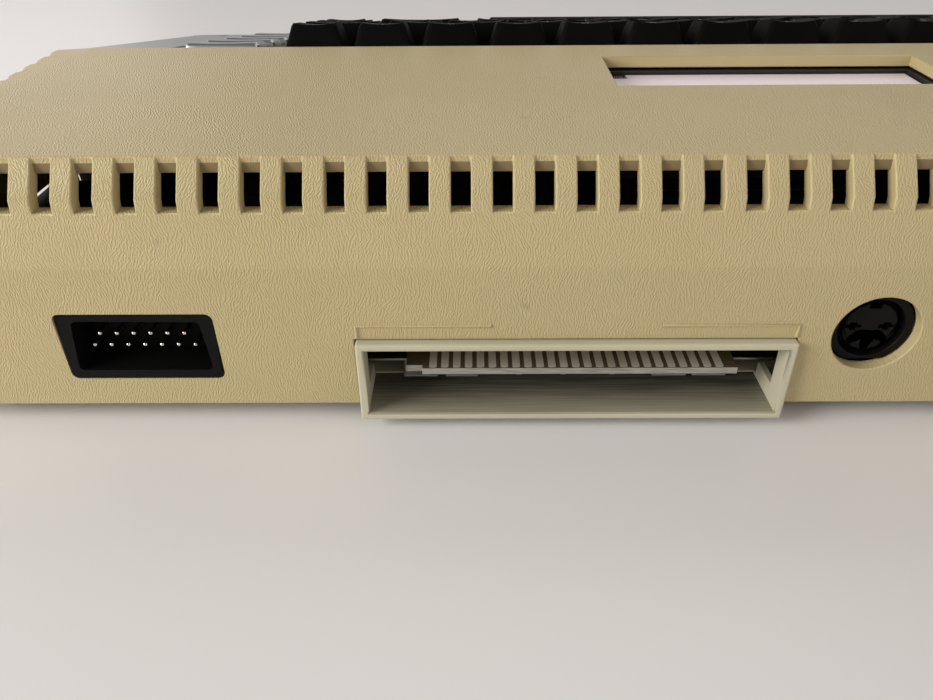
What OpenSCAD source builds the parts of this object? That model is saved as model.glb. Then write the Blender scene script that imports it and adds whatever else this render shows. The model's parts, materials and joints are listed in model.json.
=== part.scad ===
// One-piece home computer: two moulded shells round a main board, a keyboard,
// a spring-door cartridge slot and a row of ports in the rear wall.
// X runs to the user's right, Y to the rear, Z up. The feet stand on Z = 0.

/* [Case] */
// Widest width of the case, at the crease of its side walls
body_w = 375; // [372:1:382]
// Depth from the front wall to the face of the rear shroud
body_d = 218; // [216:1:228]
// Wall of the moulded top shell
wall = 3; // [2.4:0.1:3.4]
// Height of the rubber feet
foot_h = 3; // [2:0.5:5]
// Thickness of the floor of the bottom shell
floor_t = 2.3; // [2:0.1:3]
// Joint line between the shells
seam = 0.3; // [0.2:0.1:0.5]
// Height of the crease in the outer walls
crease_z = 39; // [38:1:41]
// Height of the fullest line, under the bevel
bulge_z = 52.1; // [51:0.1:54]
// Inset of the wall's lower edge from the crease
tuck = 1.3; // [0.8:0.1:2]
// Inset of the fullest line from the crease
lean = 2.4; // [2:0.1:3.6]
// Inset of the bevel between wall and deck
bevel = 4.9; // [4:0.1:5.4]
// Rise of that bevel
bevel_rise = 6.6; // [5.6:0.1:7]
// Radius of the upright corners of the case
corner_r = 7; // [4:0.5:10]
// Place of the ridge between deck and keyboard
ridge_y = 17; // [16:0.5:18]
// Height of the ridge
ridge_z = 59.2; // [59:0.1:61]
// Step from the ridge down to the dark surround
ridge_step = 1.3; // [1:0.1:4]

/* [Vents] */
// Distance from slot to slot
vent_pitch = 7.8; // [7.4:0.1:8.4]
// Width of one slot
vent_w = 3.75; // [3:0.25:4.25]
// Height of the slots' sills
vent_z = 49.6; // [48:0.2:51]
// Thickness of the deck's edge over the rear slots
vent_roof = 1.9; // [1.4:0.1:2.6]

/* [Keyboard] */
// Slope of the keyboard
key_tilt = 10; // [8:0.5:11]
// Distance from key to key
key_pitch = 19.05; // [18.6:0.05:19.1]
// Gap between the skirts of two keys
key_gap = 0.9; // [0.7:0.1:1.4]
// Height of a key above the surround
key_h = 9.1; // [7:0.1:10]
// Slope of a key's side, from skirt to top
key_inset = 2.9; // [2:0.1:3.4]
// Travel of a key
key_travel = 3.8; // [3:0.1:4]
// Depth of the keys' own plane under the face of the surround
key_sink = 2.4; // [2:0.1:2.8]
// Radius of a key's stem
stem_r = 2.7; // [2.2:0.1:3]
// Thickness of the dark surround
bezel_t = 2; // [1.6:0.1:2.4]
// Height of a console key above the surround
console_h = 4; // [3.9:0.1:5]
// Thickness of the metal strip beside the console keys
strip_t = 0.7; // [0.5:0.1:1]

/* [Cartridge slot] */
// Length of the slot in the deck
slot_w = 80; // [76:1:84]
// Depth of the slot, front to rear
slot_d = 26.5; // [25:0.5:28]
// Place of the slot's middle, across
slot_x = -7.3; // [-12:0.1:-4]
// Place of the slot's middle, front to rear
slot_y = 42.6; // [41:0.2:45]
// Depth of the doors' faces below the deck
door_drop = 4.2; // [3.8:0.2:6]
// Thickness of a door
door_t = 0.8; // [0.6:0.1:1]
// Radius of a door's pin
pin_r = 0.8; // [0.6:0.1:0.9]

/* [Rear ports] */
// Outside width of the shroud round the expansion edge
shroud_w = 89.8; // [88:0.2:92]
// Outside height of the shroud
shroud_h = 19.1; // [18:0.1:20]
// Wall of the shroud
shroud_wall = 1.66; // [1.4:0.02:2]
// Place of the shroud's middle
shroud_x = 45.5; // [42:0.5:48]
// How far the shroud stands proud of the rear wall
shroud_proud = 1.2; // [0.8:0.1:2]
// Place of the peripheral socket
serial_x = 134.65; // [130:0.05:137]
// Width of the peripheral socket
serial_w = 31.8; // [31:0.1:33]
// Height of the peripheral socket
serial_h = 15.6; // [14:0.2:16]
// Radius of the holes for round plugs
din_r = 8.75; // [8.5:0.05:9.2]
// Place of the monitor socket
monitor_x = -15; // [-18:0.5:-12]
// Place of the channel switch
channel_x = -47; // [-49:1:-45]
// Place of the television jack
tv_x = -72; // [-74:1:-70]
// Place of the power inlet
power_x = -107; // [-112:1:-104]
// Distance of the power rocker from the case's side
rocker_side = 40.5; // [37.5:0.5:45.5]

/* [Boards] */
// Thickness of the main board
board_t = 1.6; // [1.2:0.1:2]
// Height of the main board's underside
board_z = 11.75; // [11.6:0.05:12.2]
// Width of the expansion edge
edge_w = 70.5; // [68:0.5:72]
// Pitch of the contacts on the expansion edge
edge_pitch = 2.54; // [2.5:0.01:2.6]
// Inset of the expansion edge from the shroud's face
edge_inset = 4.5; // [4:0.5:7]

/* [Hidden] */
$fn = 48;
CUT = 1;
FIT = 0.25;
hw = body_w / 2;
rear_y = body_d / 2;
front_y = -body_d / 2;
wall_y = rear_y - shroud_proud;
base_z = foot_h + floor_t;
shell_z = base_z + seam;
bevel_z = bulge_z + bevel_rise;
deck_in = bevel_z - wall;
bevel_angle = atan(bevel_rise / bevel);
mitre_top = tan(bevel_angle / 2);
mitre_low = tan(45 - bevel_angle / 2);
nose_h = 22;
nose_lean = 1;
kb_y = ridge_y - 2;
kb_z = ridge_z - ridge_step;
ridge_run = 1.6;
lip_y = front_y + 7;
lip_drop = 0.6;
lip_w = 5.2;
slope = tan(key_tilt);

// vents
vent_shift = -1.6;
vent_half = floor((hw - lean - bevel - 5) / vent_pitch);
vent_rear = wall_y - lean - bevel;
vent_side = hw - lean - bevel;
vent_side_cut = 0.8;
vent_undercut = 3;
side_vent_n = floor((vent_rear - ridge_y - 12) / vent_pitch);

// keyboard, in its own tilted frame: origin at the rear edge, Z out of the surround
key_shift = -key_sink * sin(key_tilt);
row_y = -11.6;
skirt_z = -1.8;
key_base = key_pitch - key_gap;
row_n = 15;
row_right = 119.95;
row_left = row_right - row_n * key_pitch;
row_mid = (row_right + row_left) / 2;
bar_u = 9;
bar_row = 4;
bar_y = row_y - bar_row * key_pitch;
tray_rear = row_y + 17.6;
plate_z = -8;
plate_t = 1;
pad_z = -13.1;
pad_t = 1;
film_t = 0.4;
back_t = 1.2;
back_z = pad_z - pad_t - film_t;
stem_gap = 0.35;
stem_z = pad_z + key_travel + stem_gap;
collar_r = 5;
collar_hole = stem_r + 0.5;
cap_t = 1.4;
console_x = 137.5;
console_w = 22;
console_d = 11.5;
console_n = 5;
strip_l = console_x + console_w / 2 + 5;
strip_w = 24;
bezel_gap = 0.6;
bezel_half = hw - lean - bevel - 0.2;
bezel_front = (lip_y + bezel_gap - kb_y) / cos(key_tilt);
strip_front = bezel_front + 2.2;
strip_inset = 0.45;
strip_rear = -0.5;
edge_gap = 0.1;
lamp_x = strip_l + strip_w / 2;
lamp_y = strip_front + 12;
lamp_r = 2.4;
lamp_deep = 9;
lamp_room = 20;
lamp_proud = 0.2;
keyhole_gap = 1;
tray_l = row_left - 10.2;
tray_r = strip_l + 3.5;
tray_front = bar_y - key_pitch / 2 - 10.7;
well_l = row_left - 2.5;
well_r = tray_r - 6;
well_rear = row_y + 11;
well_front = bar_y - key_pitch / 2 - 2.7;
boss_r = 4;
boss_x = [tray_l + 3.5, tray_r - 3];
boss_y = [2, tray_front / 2 + 4, tray_front + 3.6];
kb_bosses = concat([for (x = boss_x, y = boss_y) [x, y]], [[0, boss_y[2]]]);

// rows two to four: the widths of their keys, in units of the pitch
row_2 = [1.5, 1, 1, 1, 1, 1, 1, 1, 1, 1, 1, 1, 1];
row_3 = [1.75, 1, 1, 1, 1, 1, 1, 1, 1, 1, 1, 1, 1, 1.25];
row_4 = [2.25, 1, 1, 1, 1, 1, 1, 1, 1, 1, 1, 1.75, 1];
return_u = 1.5;

// cartridge slot
slot_top = bevel_z + 0.2;
door_top = slot_top - door_drop;
barrel_r = pin_r + 0.5;
hinge_z = door_top - barrel_r;
hinge_in = barrel_r + 0.3;
hinge_front = slot_y - slot_d / 2 + hinge_in;
hinge_rear = slot_y + slot_d / 2 - hinge_in;
door_gap = 0.4;
door_end_gap = 1.2;
door_w = slot_w - 2 * door_end_gap;
spring_room = 5;
spring_wire = 0.2;
guide_t = 2;
guide_z = 37;
guide_rim = 6;
cart_socket_w = 54;
cart_socket_d = 10;
cart_socket_h = 12;
cart_socket_slot = 2.8;

// boards
board_top = board_z + board_t;
board_l = -hw + 27.5;
board_r = hw - 21.5;
board_front = -38;
tube_y = rear_y - 13.7;
board_rear = tube_y - 0.5;
edge_y = rear_y - edge_inset;
edge_n = 25;
post_r = 3.5;
post_front = board_front + 10;
post_rear = board_rear - 10.8;
board_posts = [[board_l + 10, post_rear], [board_l + 10, post_front], [-60, post_front], [60, post_front],
    [board_r - 10, post_front], [112, post_rear], [-36, post_rear]];
shield_l = -96;
shield_r = 104;
shield_front = board_front + 5;
shield_rear = 62;
shield_top_z = 25;
shield_t = 0.6;
vane_n = 8;
vane_pitch = 22;
vane_w = 12;
vane_d = 3;
shield_z = 8.6;
port_z = base_z + 17.9;
serial_z = base_z + 15.35;
serial_r = 1.4;
mouth_r = 1;
pin_pitch = 3.5;
pin_wire_r = 0.5;
rear_in = wall_y - tuck - wall;
socket_face = wall_y - 3;
jack_r = 4.15;
jack_bore_r = 1.7;
jack_deep = 6.4;
jack_back = 0.4;
jack_flange_r = 6.5;
jack_flange_t = 1.6;
jack_hole_r = 7.5;
socket_w = 19;
socket_h = 19.6;
socket_deep = 12;
disc_r = 5.55;
disc_sink = 0.7;
groove = 1.2;
contact_r = 3.45;
can_x = [-90, -56];
can_y = [board_rear - 26.8, board_rear - 0.8];
can_h = 18;
can_t = 1;
channel_w = 16;
switch_deep = 6;
slide_half = 4.2;
slide_w = 4.4;
slide_h = 3.4;
rocker_w = 21;
rocker_h = 14;
rocker_room = 2.6;
rocker_axis_y = wall_y - 5;
rocker_x = rocker_side - hw;
ribbon_x = [-8, 24];
ribbon_t = 0.7;
ribbon_plug_y = -22;
ribbon_plug_h = 7;

// chips: middle x, middle y, length, width
chip_places = [[-66, 30, 52, 14], [-66, 0, 52, 14], [-8, 4, 52, 14], [58, 4, 52, 14], [62, 30, 36, 14],
    [-84, -20, 20, 7], [-58, -20, 20, 7], [60, -20, 20, 7], [86, -20, 20, 7], [86, 50, 20, 7]];
capacitor_l = board_l + 32;
capacitor_r = board_r - 38;
capacitor_places = concat([for (y = [60, 44, 28, 2]) [capacitor_l, y]],
    [[capacitor_r + 2, 60], [capacitor_r + 14, 46], [capacitor_r, 8]]);
capacitor_h = 12;
capacitor_w = 4;

// ends of the four bright tabs under the expansion edge, from the shroud's middle
tab_places = [[-35.9, -28.4], [-27, -19.4], [19.8, 27.1], [28.9, 36.5]];
pin_places = [-10.5, 0.5, 10.5];

// case screws and feet
screw_r = 1.5;
screw_head_r = 3.2;
column_r = 4.5;
screw_top = 20;
boss_top = base_z + 4;
screw_x = hw - 15.5;
screw_front = front_y + 12;
screw_rear = wall_y - 16.8;
front_screw_x = 60;
screw_places = concat([for (s = [-1, 1], y = [screw_rear, screw_front]) [s * screw_x, y]],
    [[-front_screw_x, screw_front], [front_screw_x, screw_front]]);
foot_side = 37.5;
foot_rear = 47;
foot_front = 27;
feet = [for (s = [-1, 1], y = [rear_y - foot_rear, front_y + foot_front]) [s * (hw - foot_side), y]];
foot_r = 7;
foot_sink = 0.8;
controllers = [2, 46];
controller_w = 31;
controller_h = 12.5;
controller_deep = 26;
controller_nose = 4.5;
controller_up = 6;
nose_half = 13.5;
nose_half_h = 5.2;
controller_pitch = 2.75;
controller_row = 2.8;
controller_z = board_top + 7.2;
controller_face = hw - tuck - wall + 1;

number_keys = [for (i = [1:row_n]) str("number_key_", i < 10 ? "0" : "", i)];
console_keys = [for (i = [1:console_n]) str("console_key_", i)];

// ---------- shared shapes ----------

// height of the keyboard's plane, or of a plane that lies d below it
function plane(y, d) = kb_z + (y - kb_y) * slope - d / cos(key_tilt);

module in_keyboard() {
    translate([0, kb_y, kb_z]) rotate([key_tilt, 0, 0]) children();
}

// the keys' plane lies under the surround's
module in_unit() {
    translate([0, kb_y, kb_z - key_sink]) rotate([key_tilt, 0, 0]) children();
}

module block(x, y, z) {
    translate([x[0], y[0], z[0]]) cube([x[1] - x[0], y[1] - y[0], z[1] - z[0]]);
}

module rounded_plate(w, y, z, r) {
    block([-w / 2 + r, w / 2 - r], y, z);
    block([-w / 2, w / 2], [y[0] + r, y[1] - r], z);
    for (x = [-w / 2 + r, w / 2 - r], e = [y[0] + r, y[1] - r])
        translate([x, e, z[0]]) cylinder(h = z[1] - z[0], r = r);
}

// a rounded plate that stands up, thick in Y
module upright_plate(w, y, z, r) {
    translate([0, y[1], 0]) rotate([90, 0, 0]) rounded_plate(w, z, [0, y[1] - y[0]], r);
}

module along_y(x, y, z, r) {
    translate([x, y[1], z]) rotate([90, 0, 0]) cylinder(h = y[1] - y[0], r = r);
}

module along_x(x, y, z, r) {
    translate([x[0], y, z]) rotate([0, 90, 0]) cylinder(h = x[1] - x[0], r = r);
}

// ---------- case ----------

// outline of the case seen from the side, moved inwards by t
function side_outline(t, low) = concat([
    [wall_y - tuck - t, low],
    [wall_y - t, crease_z],
    [wall_y - lean - t, bulge_z - mitre_low * t],
    [wall_y - lean - bevel - mitre_top * t, bevel_z - t],
    [ridge_y + t, ridge_z - t],
    [ridge_y - ridge_run + t, plane(ridge_y - ridge_run + t, bezel_t + t)]],
    t > 0 ? [[front_y + t + nose_lean, plane(front_y + t + nose_lean, bezel_t + t)]] : lip_outline,
    [[front_y + t, nose_h], [front_y + t + nose_lean, low]]);

// the front lip, which stands up in front of the keyboard's surround
lip_outline = [
    [lip_y, plane(lip_y, bezel_t)],
    [lip_y, plane(lip_y, 0)],
    [lip_y - lip_w, plane(lip_y - lip_w, lip_drop)]];

// outline of the case seen from the front, moved inwards by t
function front_outline(t, low) = let (half = [
    [hw - tuck - t, low],
    [hw - t, crease_z],
    [hw - lean - t, bulge_z - mitre_low * t],
    [hw - lean - bevel - mitre_top * t, bevel_z - t],
    [hw - lean - bevel - 12, ridge_z + 0.1 - t]])
    concat(half, [for (i = [len(half) - 1:-1:0]) [-half[i][0], half[i][1]]]);

module case_form(t, low) {
    intersection() {
        rotate([90, 0, 90]) translate([0, 0, -hw]) linear_extrude(body_w) polygon(side_outline(t, low));
        rotate([90, 0, 0]) translate([0, 0, -rear_y]) linear_extrude(body_d) polygon(front_outline(t, low));
        rounded_plate(body_w - 2 * t, [front_y + t, wall_y - t], [low - CUT, ridge_z + CUT], corner_r - t / 2);
    }
}

module vents() {
    for (i = [-vent_half:vent_half])
        translate([vent_shift + i * vent_pitch - vent_w / 2, vent_rear, 0]) {
            block([0, vent_w], [0, body_d], [vent_z, bevel_z + CUT]);
            block([0, vent_w], [-vent_undercut, CUT], [vent_z, bevel_z - vent_roof]);
        }
    for (s = [-1, 1], i = [0:side_vent_n])
        translate([s > 0 ? vent_side - vent_side_cut : -vent_side + vent_side_cut - hw,
            vent_rear - 6 - i * vent_pitch - vent_w, vent_z])
            cube([hw, vent_w, body_d]);
}

// the sloped part's side edges are bevelled along the slope
module slope_bevels() {
    in_keyboard() for (s = [-1, 1])
        translate([s * (hw - lean - bevel), ridge_y - kb_y - ridge_run, -bezel_t]) rotate([0, s * 45, 0])
            translate([s > 0 ? 0 : -hw, -body_d, 0]) cube([hw, body_d, hw]);
}

// solid edges behind those bevels
module side_rails() {
    in_keyboard() for (s = [-1, 1]) translate([s * (hw - 5), 0, 0])
        block([-5, 5], [front_y - 10, ridge_y - kb_y], [-bezel_t - bevel_rise - wall, 0]);
}

// opening for a controller socket through the side wall
module controller_hole() {
    w = controller_w + 2 * FIT;
    h = controller_h + 2 * FIT;
    block([hw - 12, hw + CUT], [-w / 2, w / 2], [-h / 2, h / 2]);
}

module rear_openings() {
    y = [rear_in - 4, rear_y + CUT];
    translate([serial_x, 0, 0]) upright_plate(serial_w + 2 * FIT, y,
        [serial_z - serial_h / 2 - FIT, serial_z + serial_h / 2 + FIT], serial_r + FIT);
    block([shroud_x - shroud_w / 2 - FIT, shroud_x + shroud_w / 2 + FIT], y,
        [foot_h, foot_h + shroud_h + FIT]);
    for (x = [monitor_x, power_x]) along_y(x, y, port_z, din_r);
    along_y(tv_x, y, port_z, jack_hole_r);
    block([channel_x - 5.5, channel_x + 5.5], y, [port_z - 2.5, port_z + 2.5]);
    block([rocker_x - rocker_w / 2 - FIT, rocker_x + rocker_w / 2 + FIT], y,
        [port_z - rocker_h / 2 - FIT, port_z + rocker_h / 2 + FIT]);
}

module column(at) {
    // screw column under the deck or under the keyboard's seat
    translate([at[0], at[1], boss_top + seam])
        cylinder(h = (at[1] > 0 ? deck_in + 1 : plane(at[1], bezel_t) - 1) - boss_top - seam, r = column_r);
}

module top_shell() {
    color("#c8b088") difference() {
        case_form(0, shell_z);
        difference() {
            case_form(wall, shell_z - CUT);
            side_rails();
            for (at = screw_places) column(at);
            in_unit() for (at = kb_bosses) translate([at[0], at[1], plate_z + plate_t])
                cylinder(h = key_sink + CUT - plate_z - plate_t, r = boss_r);
        }
        vents();
        slope_bevels();
        rear_openings();
        for (y = controllers)
            translate([0, y, controller_z]) controller_hole();
        // cartridge slot
        block([slot_x - slot_w / 2, slot_x + slot_w / 2], [slot_y - slot_d / 2, slot_y + slot_d / 2],
            [deck_in - 8, ridge_z + CUT]);
        // keyboard well
        in_unit() block([well_l, well_r], [well_front, well_rear], [-40, key_sink + CUT]);
        // lamp and screw holes
        in_keyboard() translate([lamp_x, lamp_y, -lamp_room]) cylinder(h = lamp_room, r = lamp_r + FIT);
        for (at = screw_places) translate([at[0], at[1], foot_h])
            cylinder(h = screw_top - foot_h + 1, r = screw_r + 0.02);
        in_unit() for (at = kb_bosses)
            translate([at[0], at[1], plate_z]) cylinder(h = 5, r = 1.2);
    }
}

module bottom_shell() {
    lip = hw - tuck - wall - seam;
    lip_back = wall_y - tuck - wall - seam;
    lip_front = front_y + nose_lean + wall + seam;
    color("#b2ac91") difference() {
        union() {
            rounded_plate(2 * lip, [lip_front, lip_back], [foot_h, base_z], corner_r - 2);
            difference() {
                rounded_plate(2 * lip, [lip_front, lip_back], [foot_h, base_z + 5.7], corner_r - 2);
                rounded_plate(2 * lip - 4, [lip_front + 2, lip_back - 2],
                    [base_z, base_z + 6.7], corner_r - 4);
            }
            for (at = screw_places) translate([at[0], at[1], foot_h])
                cylinder(h = boss_top - foot_h, r = column_r + 1);
            for (at = board_posts) translate([at[0], at[1], foot_h])
                cylinder(h = board_z - foot_h, r = post_r);
            block([shroud_x - shroud_w / 2, shroud_x + shroud_w / 2], [tube_y, rear_y],
                [foot_h, foot_h + shroud_h]);
        }
        block([shroud_x - shroud_w / 2 + shroud_wall, shroud_x + shroud_w / 2 - shroud_wall],
            [tube_y - CUT, rear_y + CUT], [foot_h + shroud_wall, foot_h + shroud_h - shroud_wall]);
        // side windows of the shroud
        block([shroud_x - shroud_w / 2 - CUT, shroud_x + shroud_w / 2 + CUT], [tube_y - CUT, rear_y - 5.3],
            [foot_h + 5.6, foot_h + 13.9]);
        for (at = screw_places) {
            translate([at[0], at[1], foot_h - CUT]) cylinder(h = floor_t + 9, r = screw_r + 0.3);
            translate([at[0], at[1], foot_h - CUT]) cylinder(h = 3.5 + CUT, r = screw_head_r + 0.3);
        }
        for (at = board_posts) translate([at[0], at[1], base_z]) cylinder(h = 10, r = screw_r - 0.25);
        for (at = feet) translate([at[0], at[1], foot_h - CUT])
            cylinder(h = foot_sink + CUT, r = foot_r + 0.1);
    }
}

module feet() {
    color("#2a2a2a") for (at = feet) translate([at[0], at[1], 0]) {
        cylinder(h = foot_h + foot_sink, r = foot_r);
    }
}

module case_screws() {
    for (at = screw_places) translate([at[0], at[1], foot_h]) {
        difference() {
            translate([0, 0, 1.4]) cylinder(h = 2.1, r = screw_head_r);
            for (a = [0, 90]) rotate([0, 0, a]) translate([-2, -0.4, 1]) cube([4, 0.8, 1.4]);
        }
        translate([0, 0, 3.5]) cylinder(h = screw_top - foot_h - 3.5, r = screw_r);
    }
}

module board_screws() {
    for (at = board_posts) translate([at[0], at[1], board_top]) {
        cylinder(h = 1.8, r = 2.8);
        translate([0, 0, -7]) cylinder(h = 7, r = screw_r - 0.27);
    }
}

module screws() {
    color("silver") case_screws();
    color("silver") board_screws();
}

// ---------- keyboard ----------

module keyboard_surround() {
    through = [0, bezel_t + 2 * CUT];
    color("#3a332c") in_keyboard() difference() {
        block([-bezel_half, bezel_half], [bezel_front, ridge_y - kb_y - ridge_run - 0.4], [-bezel_t, 0]);
        // opening round the four full rows, then round the space bar
        translate([0, key_shift, -bezel_t - CUT]) {
            block([row_left - keyhole_gap, row_right + keyhole_gap],
                [row_y - 3.5 * key_pitch - keyhole_gap, row_y + key_base / 2 + keyhole_gap], through);
            block([row_mid - bar_u * key_pitch / 2 - keyhole_gap, row_mid + bar_u * key_pitch / 2 + keyhole_gap],
                [row_y - (bar_row + 0.5) * key_pitch - keyhole_gap, row_y - 3 * key_pitch], through);
            for (i = [0:console_n - 1])
                block([console_x - console_w / 2 - 0.6, console_x + console_w / 2 + 0.6],
                    [row_y - i * key_pitch - console_d / 2 - 0.6, row_y - i * key_pitch + console_d / 2 + 0.6],
                    through);
        }
        block([strip_l, strip_l + strip_w], [strip_front, strip_rear], [-strip_inset, CUT]);
        translate([lamp_x, lamp_y, -bezel_t - CUT]) cylinder(h = bezel_t + 2 * CUT, r = lamp_r + FIT);
    }
}

module metal_strip() {
    color("silver") in_keyboard() difference() {
        block([strip_l + edge_gap, strip_l + strip_w - edge_gap],
            [strip_front + edge_gap, strip_rear - edge_gap], [-strip_inset, strip_t - strip_inset]);
        translate([lamp_x, lamp_y, -CUT]) cylinder(h = 3, r = lamp_r + FIT);
    }
}

module power_lamp() {
    color("#b02418") in_keyboard() translate([lamp_x, lamp_y, 0]) {
        translate([0, 0, -lamp_deep]) cylinder(h = lamp_deep + lamp_proud, r = lamp_r);
        translate([0, 0, lamp_proud]) intersection() {
            sphere(r = lamp_r);
            cylinder(h = lamp_r, r = lamp_r);
        }
    }
}

// a solid through rectangles, each [width, depth, shift to the rear, height]
module tower(rings) {
    n = len(rings);
    polyhedron(
        points = [for (r = rings, c = [[-1, -1], [1, -1], [1, 1], [-1, 1]])
            [c[0] * r[0] / 2, r[2] + c[1] * r[1] / 2, r[3]]],
        faces = concat([[0, 1, 2, 3]],
            [for (i = [0:n - 2], k = [0:3])
                [4 * i + k, 4 * i + 4 + k, 4 * i + 4 + (k + 1) % 4, 4 * i + (k + 1) % 4]],
            [[4 * n - 1, 4 * n - 2, 4 * n - 3, 4 * n - 4]]));
}

// a hollow cap: a square skirt that tapers to a smaller top, with its stem
module cap(w, d, h, inset) {
    shift = inset / 2;
    in_w = w - 2 * cap_t;
    in_d = d - 2 * cap_t;
    difference() {
        tower([[w, d, 0, skirt_z], [w, d, 0, 0], [w - 2 * inset, d - 2 * inset, shift, h]]);
        tower([[in_w, in_d, 0, skirt_z - CUT], [in_w, in_d, 0, 0],
            [in_w - 2 * inset, in_d - 2 * inset, shift, h - cap_t]]);
    }
    translate([0, 0, stem_z]) cylinder(h = h - cap_t / 2 - stem_z, r = stem_r);
}

module key(x, row, units) {
    in_unit() translate([x, row_y - row * key_pitch, 0])
        cap(units * key_pitch - key_gap, key_base, key_h, key_inset);
}

// places of the keys in a row, counted from the left, from their widths
function middles(widths) = [for (i = [0:len(widths) - 1])
    row_left + key_pitch * (total(widths, i) + widths[i] / 2)];
function total(widths, n) = n == 0 ? 0 : widths[n - 1] + total(widths, n - 1);

module key_row(widths, row) {
    at = middles(widths);
    for (i = [0:len(widths) - 1]) key(at[i], row, widths[i]);
}

module number_key(i) {
    color("#20201f") key(row_left + (i - 0.5) * key_pitch, 0, 1);
}

module upper_letter_keys() {
    color("#20201f") key_row(row_2, 1);
}

module return_key() {
    color("#20201f") key(row_right - return_u * key_pitch / 2, 1, return_u);
}

module middle_letter_keys() {
    color("#20201f") key_row(row_3, 2);
}

module lower_letter_keys() {
    color("#20201f") key_row(row_4, 3);
}

module space_bar() {
    color("#20201f") key(row_mid, bar_row, bar_u);
}

module console_key(i) {
    color("silver") in_unit() translate([console_x, row_y - (i - 1) * key_pitch, 0])
        cap(console_w, console_d, console_h, 0.5);
}

// stems of all keys: one hole or collar under each
stems = concat(
    [for (i = [1:row_n]) [row_left + (i - 0.5) * key_pitch, 0]],
    [for (x = middles(row_2)) [x, 1]], [[row_right - return_u * key_pitch / 2, 1]],
    [for (x = middles(row_3)) [x, 2]],
    [for (x = middles(row_4)) [x, 3]], [[row_mid, bar_row]],
    [for (i = [0:console_n - 1]) [console_x, i]]);

module at_stems() {
    for (s = stems) translate([s[0], row_y - s[1] * key_pitch, 0]) children();
}

module keyboard_plate() {
    color("#8d8f91") in_unit() difference() {
        block([tray_l, tray_r], [tray_front, tray_rear], [plate_z, plate_z + plate_t]);
        at_stems() translate([0, 0, plate_z - CUT]) cylinder(h = plate_t + 2 * CUT, r = stem_r + FIT);
        for (at = kb_bosses) translate([at[0], at[1], plate_z - CUT]) cylinder(h = plate_t + 2 * CUT, r = 1.6);
    }
}

module dome_sheet() {
    inner = back_t + 0.2;
    color("#5b5f63") in_unit() difference() {
        union() {
            block([tray_l + inner, tray_r - inner], [tray_front + inner, tray_rear - inner],
                [pad_z - pad_t, pad_z]);
            at_stems() translate([0, 0, pad_z]) cylinder(h = plate_z - pad_z - 0.3, r = collar_r);
        }
        at_stems() translate([0, 0, pad_z]) cylinder(h = plate_z - pad_z + CUT, r = collar_hole);
    }
}

module contact_sheet() {
    inner = back_t + 0.2;
    color("#c9a24a") in_unit()
        block([tray_l + inner, tray_r - inner], [tray_front + inner, tray_rear - inner],
            [back_z, pad_z - pad_t]);
}

module keyboard_back() {
    color("#9a9c9e") in_unit() difference() {
        block([tray_l, tray_r], [tray_front, tray_rear], [back_z - back_t, plate_z]);
        block([tray_l + back_t, tray_r - back_t], [tray_front + back_t, tray_rear - back_t],
            [back_z, plate_z + CUT]);
    }
}

// a flat cable seen from the side: its middle line, widened to a band
function band(p, t) = let (n = len(p))
    concat([for (i = [0:n - 1]) p[i] + t / 2 * normal(p, i)],
        [for (i = [n - 1:-1:0]) p[i] - t / 2 * normal(p, i)]);
function normal(p, i) = let (a = p[max(i - 1, 0)], b = p[min(i + 1, len(p) - 1)],
    d = (b - a) / norm(b - a)) [-d[1], d[0]];

module ribbon_cable() {
    start = [kb_y - 26, plane(kb_y - 26, -back_z + back_t) - key_sink - 0.1];
    line = [start, start + [0.2, -3], start + [1, -5], start + [-1, -6.4], [-16, 24.5], [-20, 23.6],
        [ribbon_plug_y, 22.5], [ribbon_plug_y, board_top + ribbon_plug_h]];
    color("#b9b4a6") rotate([90, 0, 90]) translate([0, 0, ribbon_x[0]])
        linear_extrude(ribbon_x[1] - ribbon_x[0]) polygon(band(line, ribbon_t));
    color("#e8e4d8") block([ribbon_x[0] - 2, ribbon_x[1] + 2], [ribbon_plug_y - 2.5, ribbon_plug_y + 2.5],
        [board_top, board_top + ribbon_plug_h]);
}

// ---------- cartridge slot ----------

module door(y, s) {
    // s is the way from the hinge to the free edge
    half = door_w / 2;
    reach = slot_d / 2 - hinge_in - door_gap / 2;
    color("#c9b8b8") difference() {
        union() {
            block([slot_x - half, slot_x + half],
                [s > 0 ? y : y - reach, s > 0 ? y + reach : y], [door_top - door_t, door_top]);
            along_x([slot_x - half, slot_x + half - spring_room], y, hinge_z, barrel_r);
        }
        along_x([slot_x - half - CUT, slot_x + half + CUT], y, hinge_z, pin_r + 0.06);
        block([slot_x + half - spring_room, slot_x + half + CUT],
            [y - 3, y + 3], [hinge_z - 3, hinge_z + 3]);
    }
}

module door_front() {
    door(hinge_front, 1);
}

module door_rear() {
    door(hinge_rear, -1);
}

module door_pins() {
    color("silver") for (y = [hinge_front, hinge_rear])
        along_x([slot_x - slot_w / 2 - guide_t / 2, slot_x + slot_w / 2 + guide_t / 2], y, hinge_z, pin_r);
}

module door_springs() {
    coils = 7;
    start = slot_x + door_w / 2 - spring_room + 0.5;
    color("#777777") for (y = [hinge_front, hinge_rear], i = [0:coils - 1])
        translate([start + i * 0.6, y, hinge_z]) rotate([0, 90, 0])
            rotate_extrude() translate([pin_r + spring_wire + 0.05, 0]) circle(r = spring_wire, $fn = 16);
}

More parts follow.
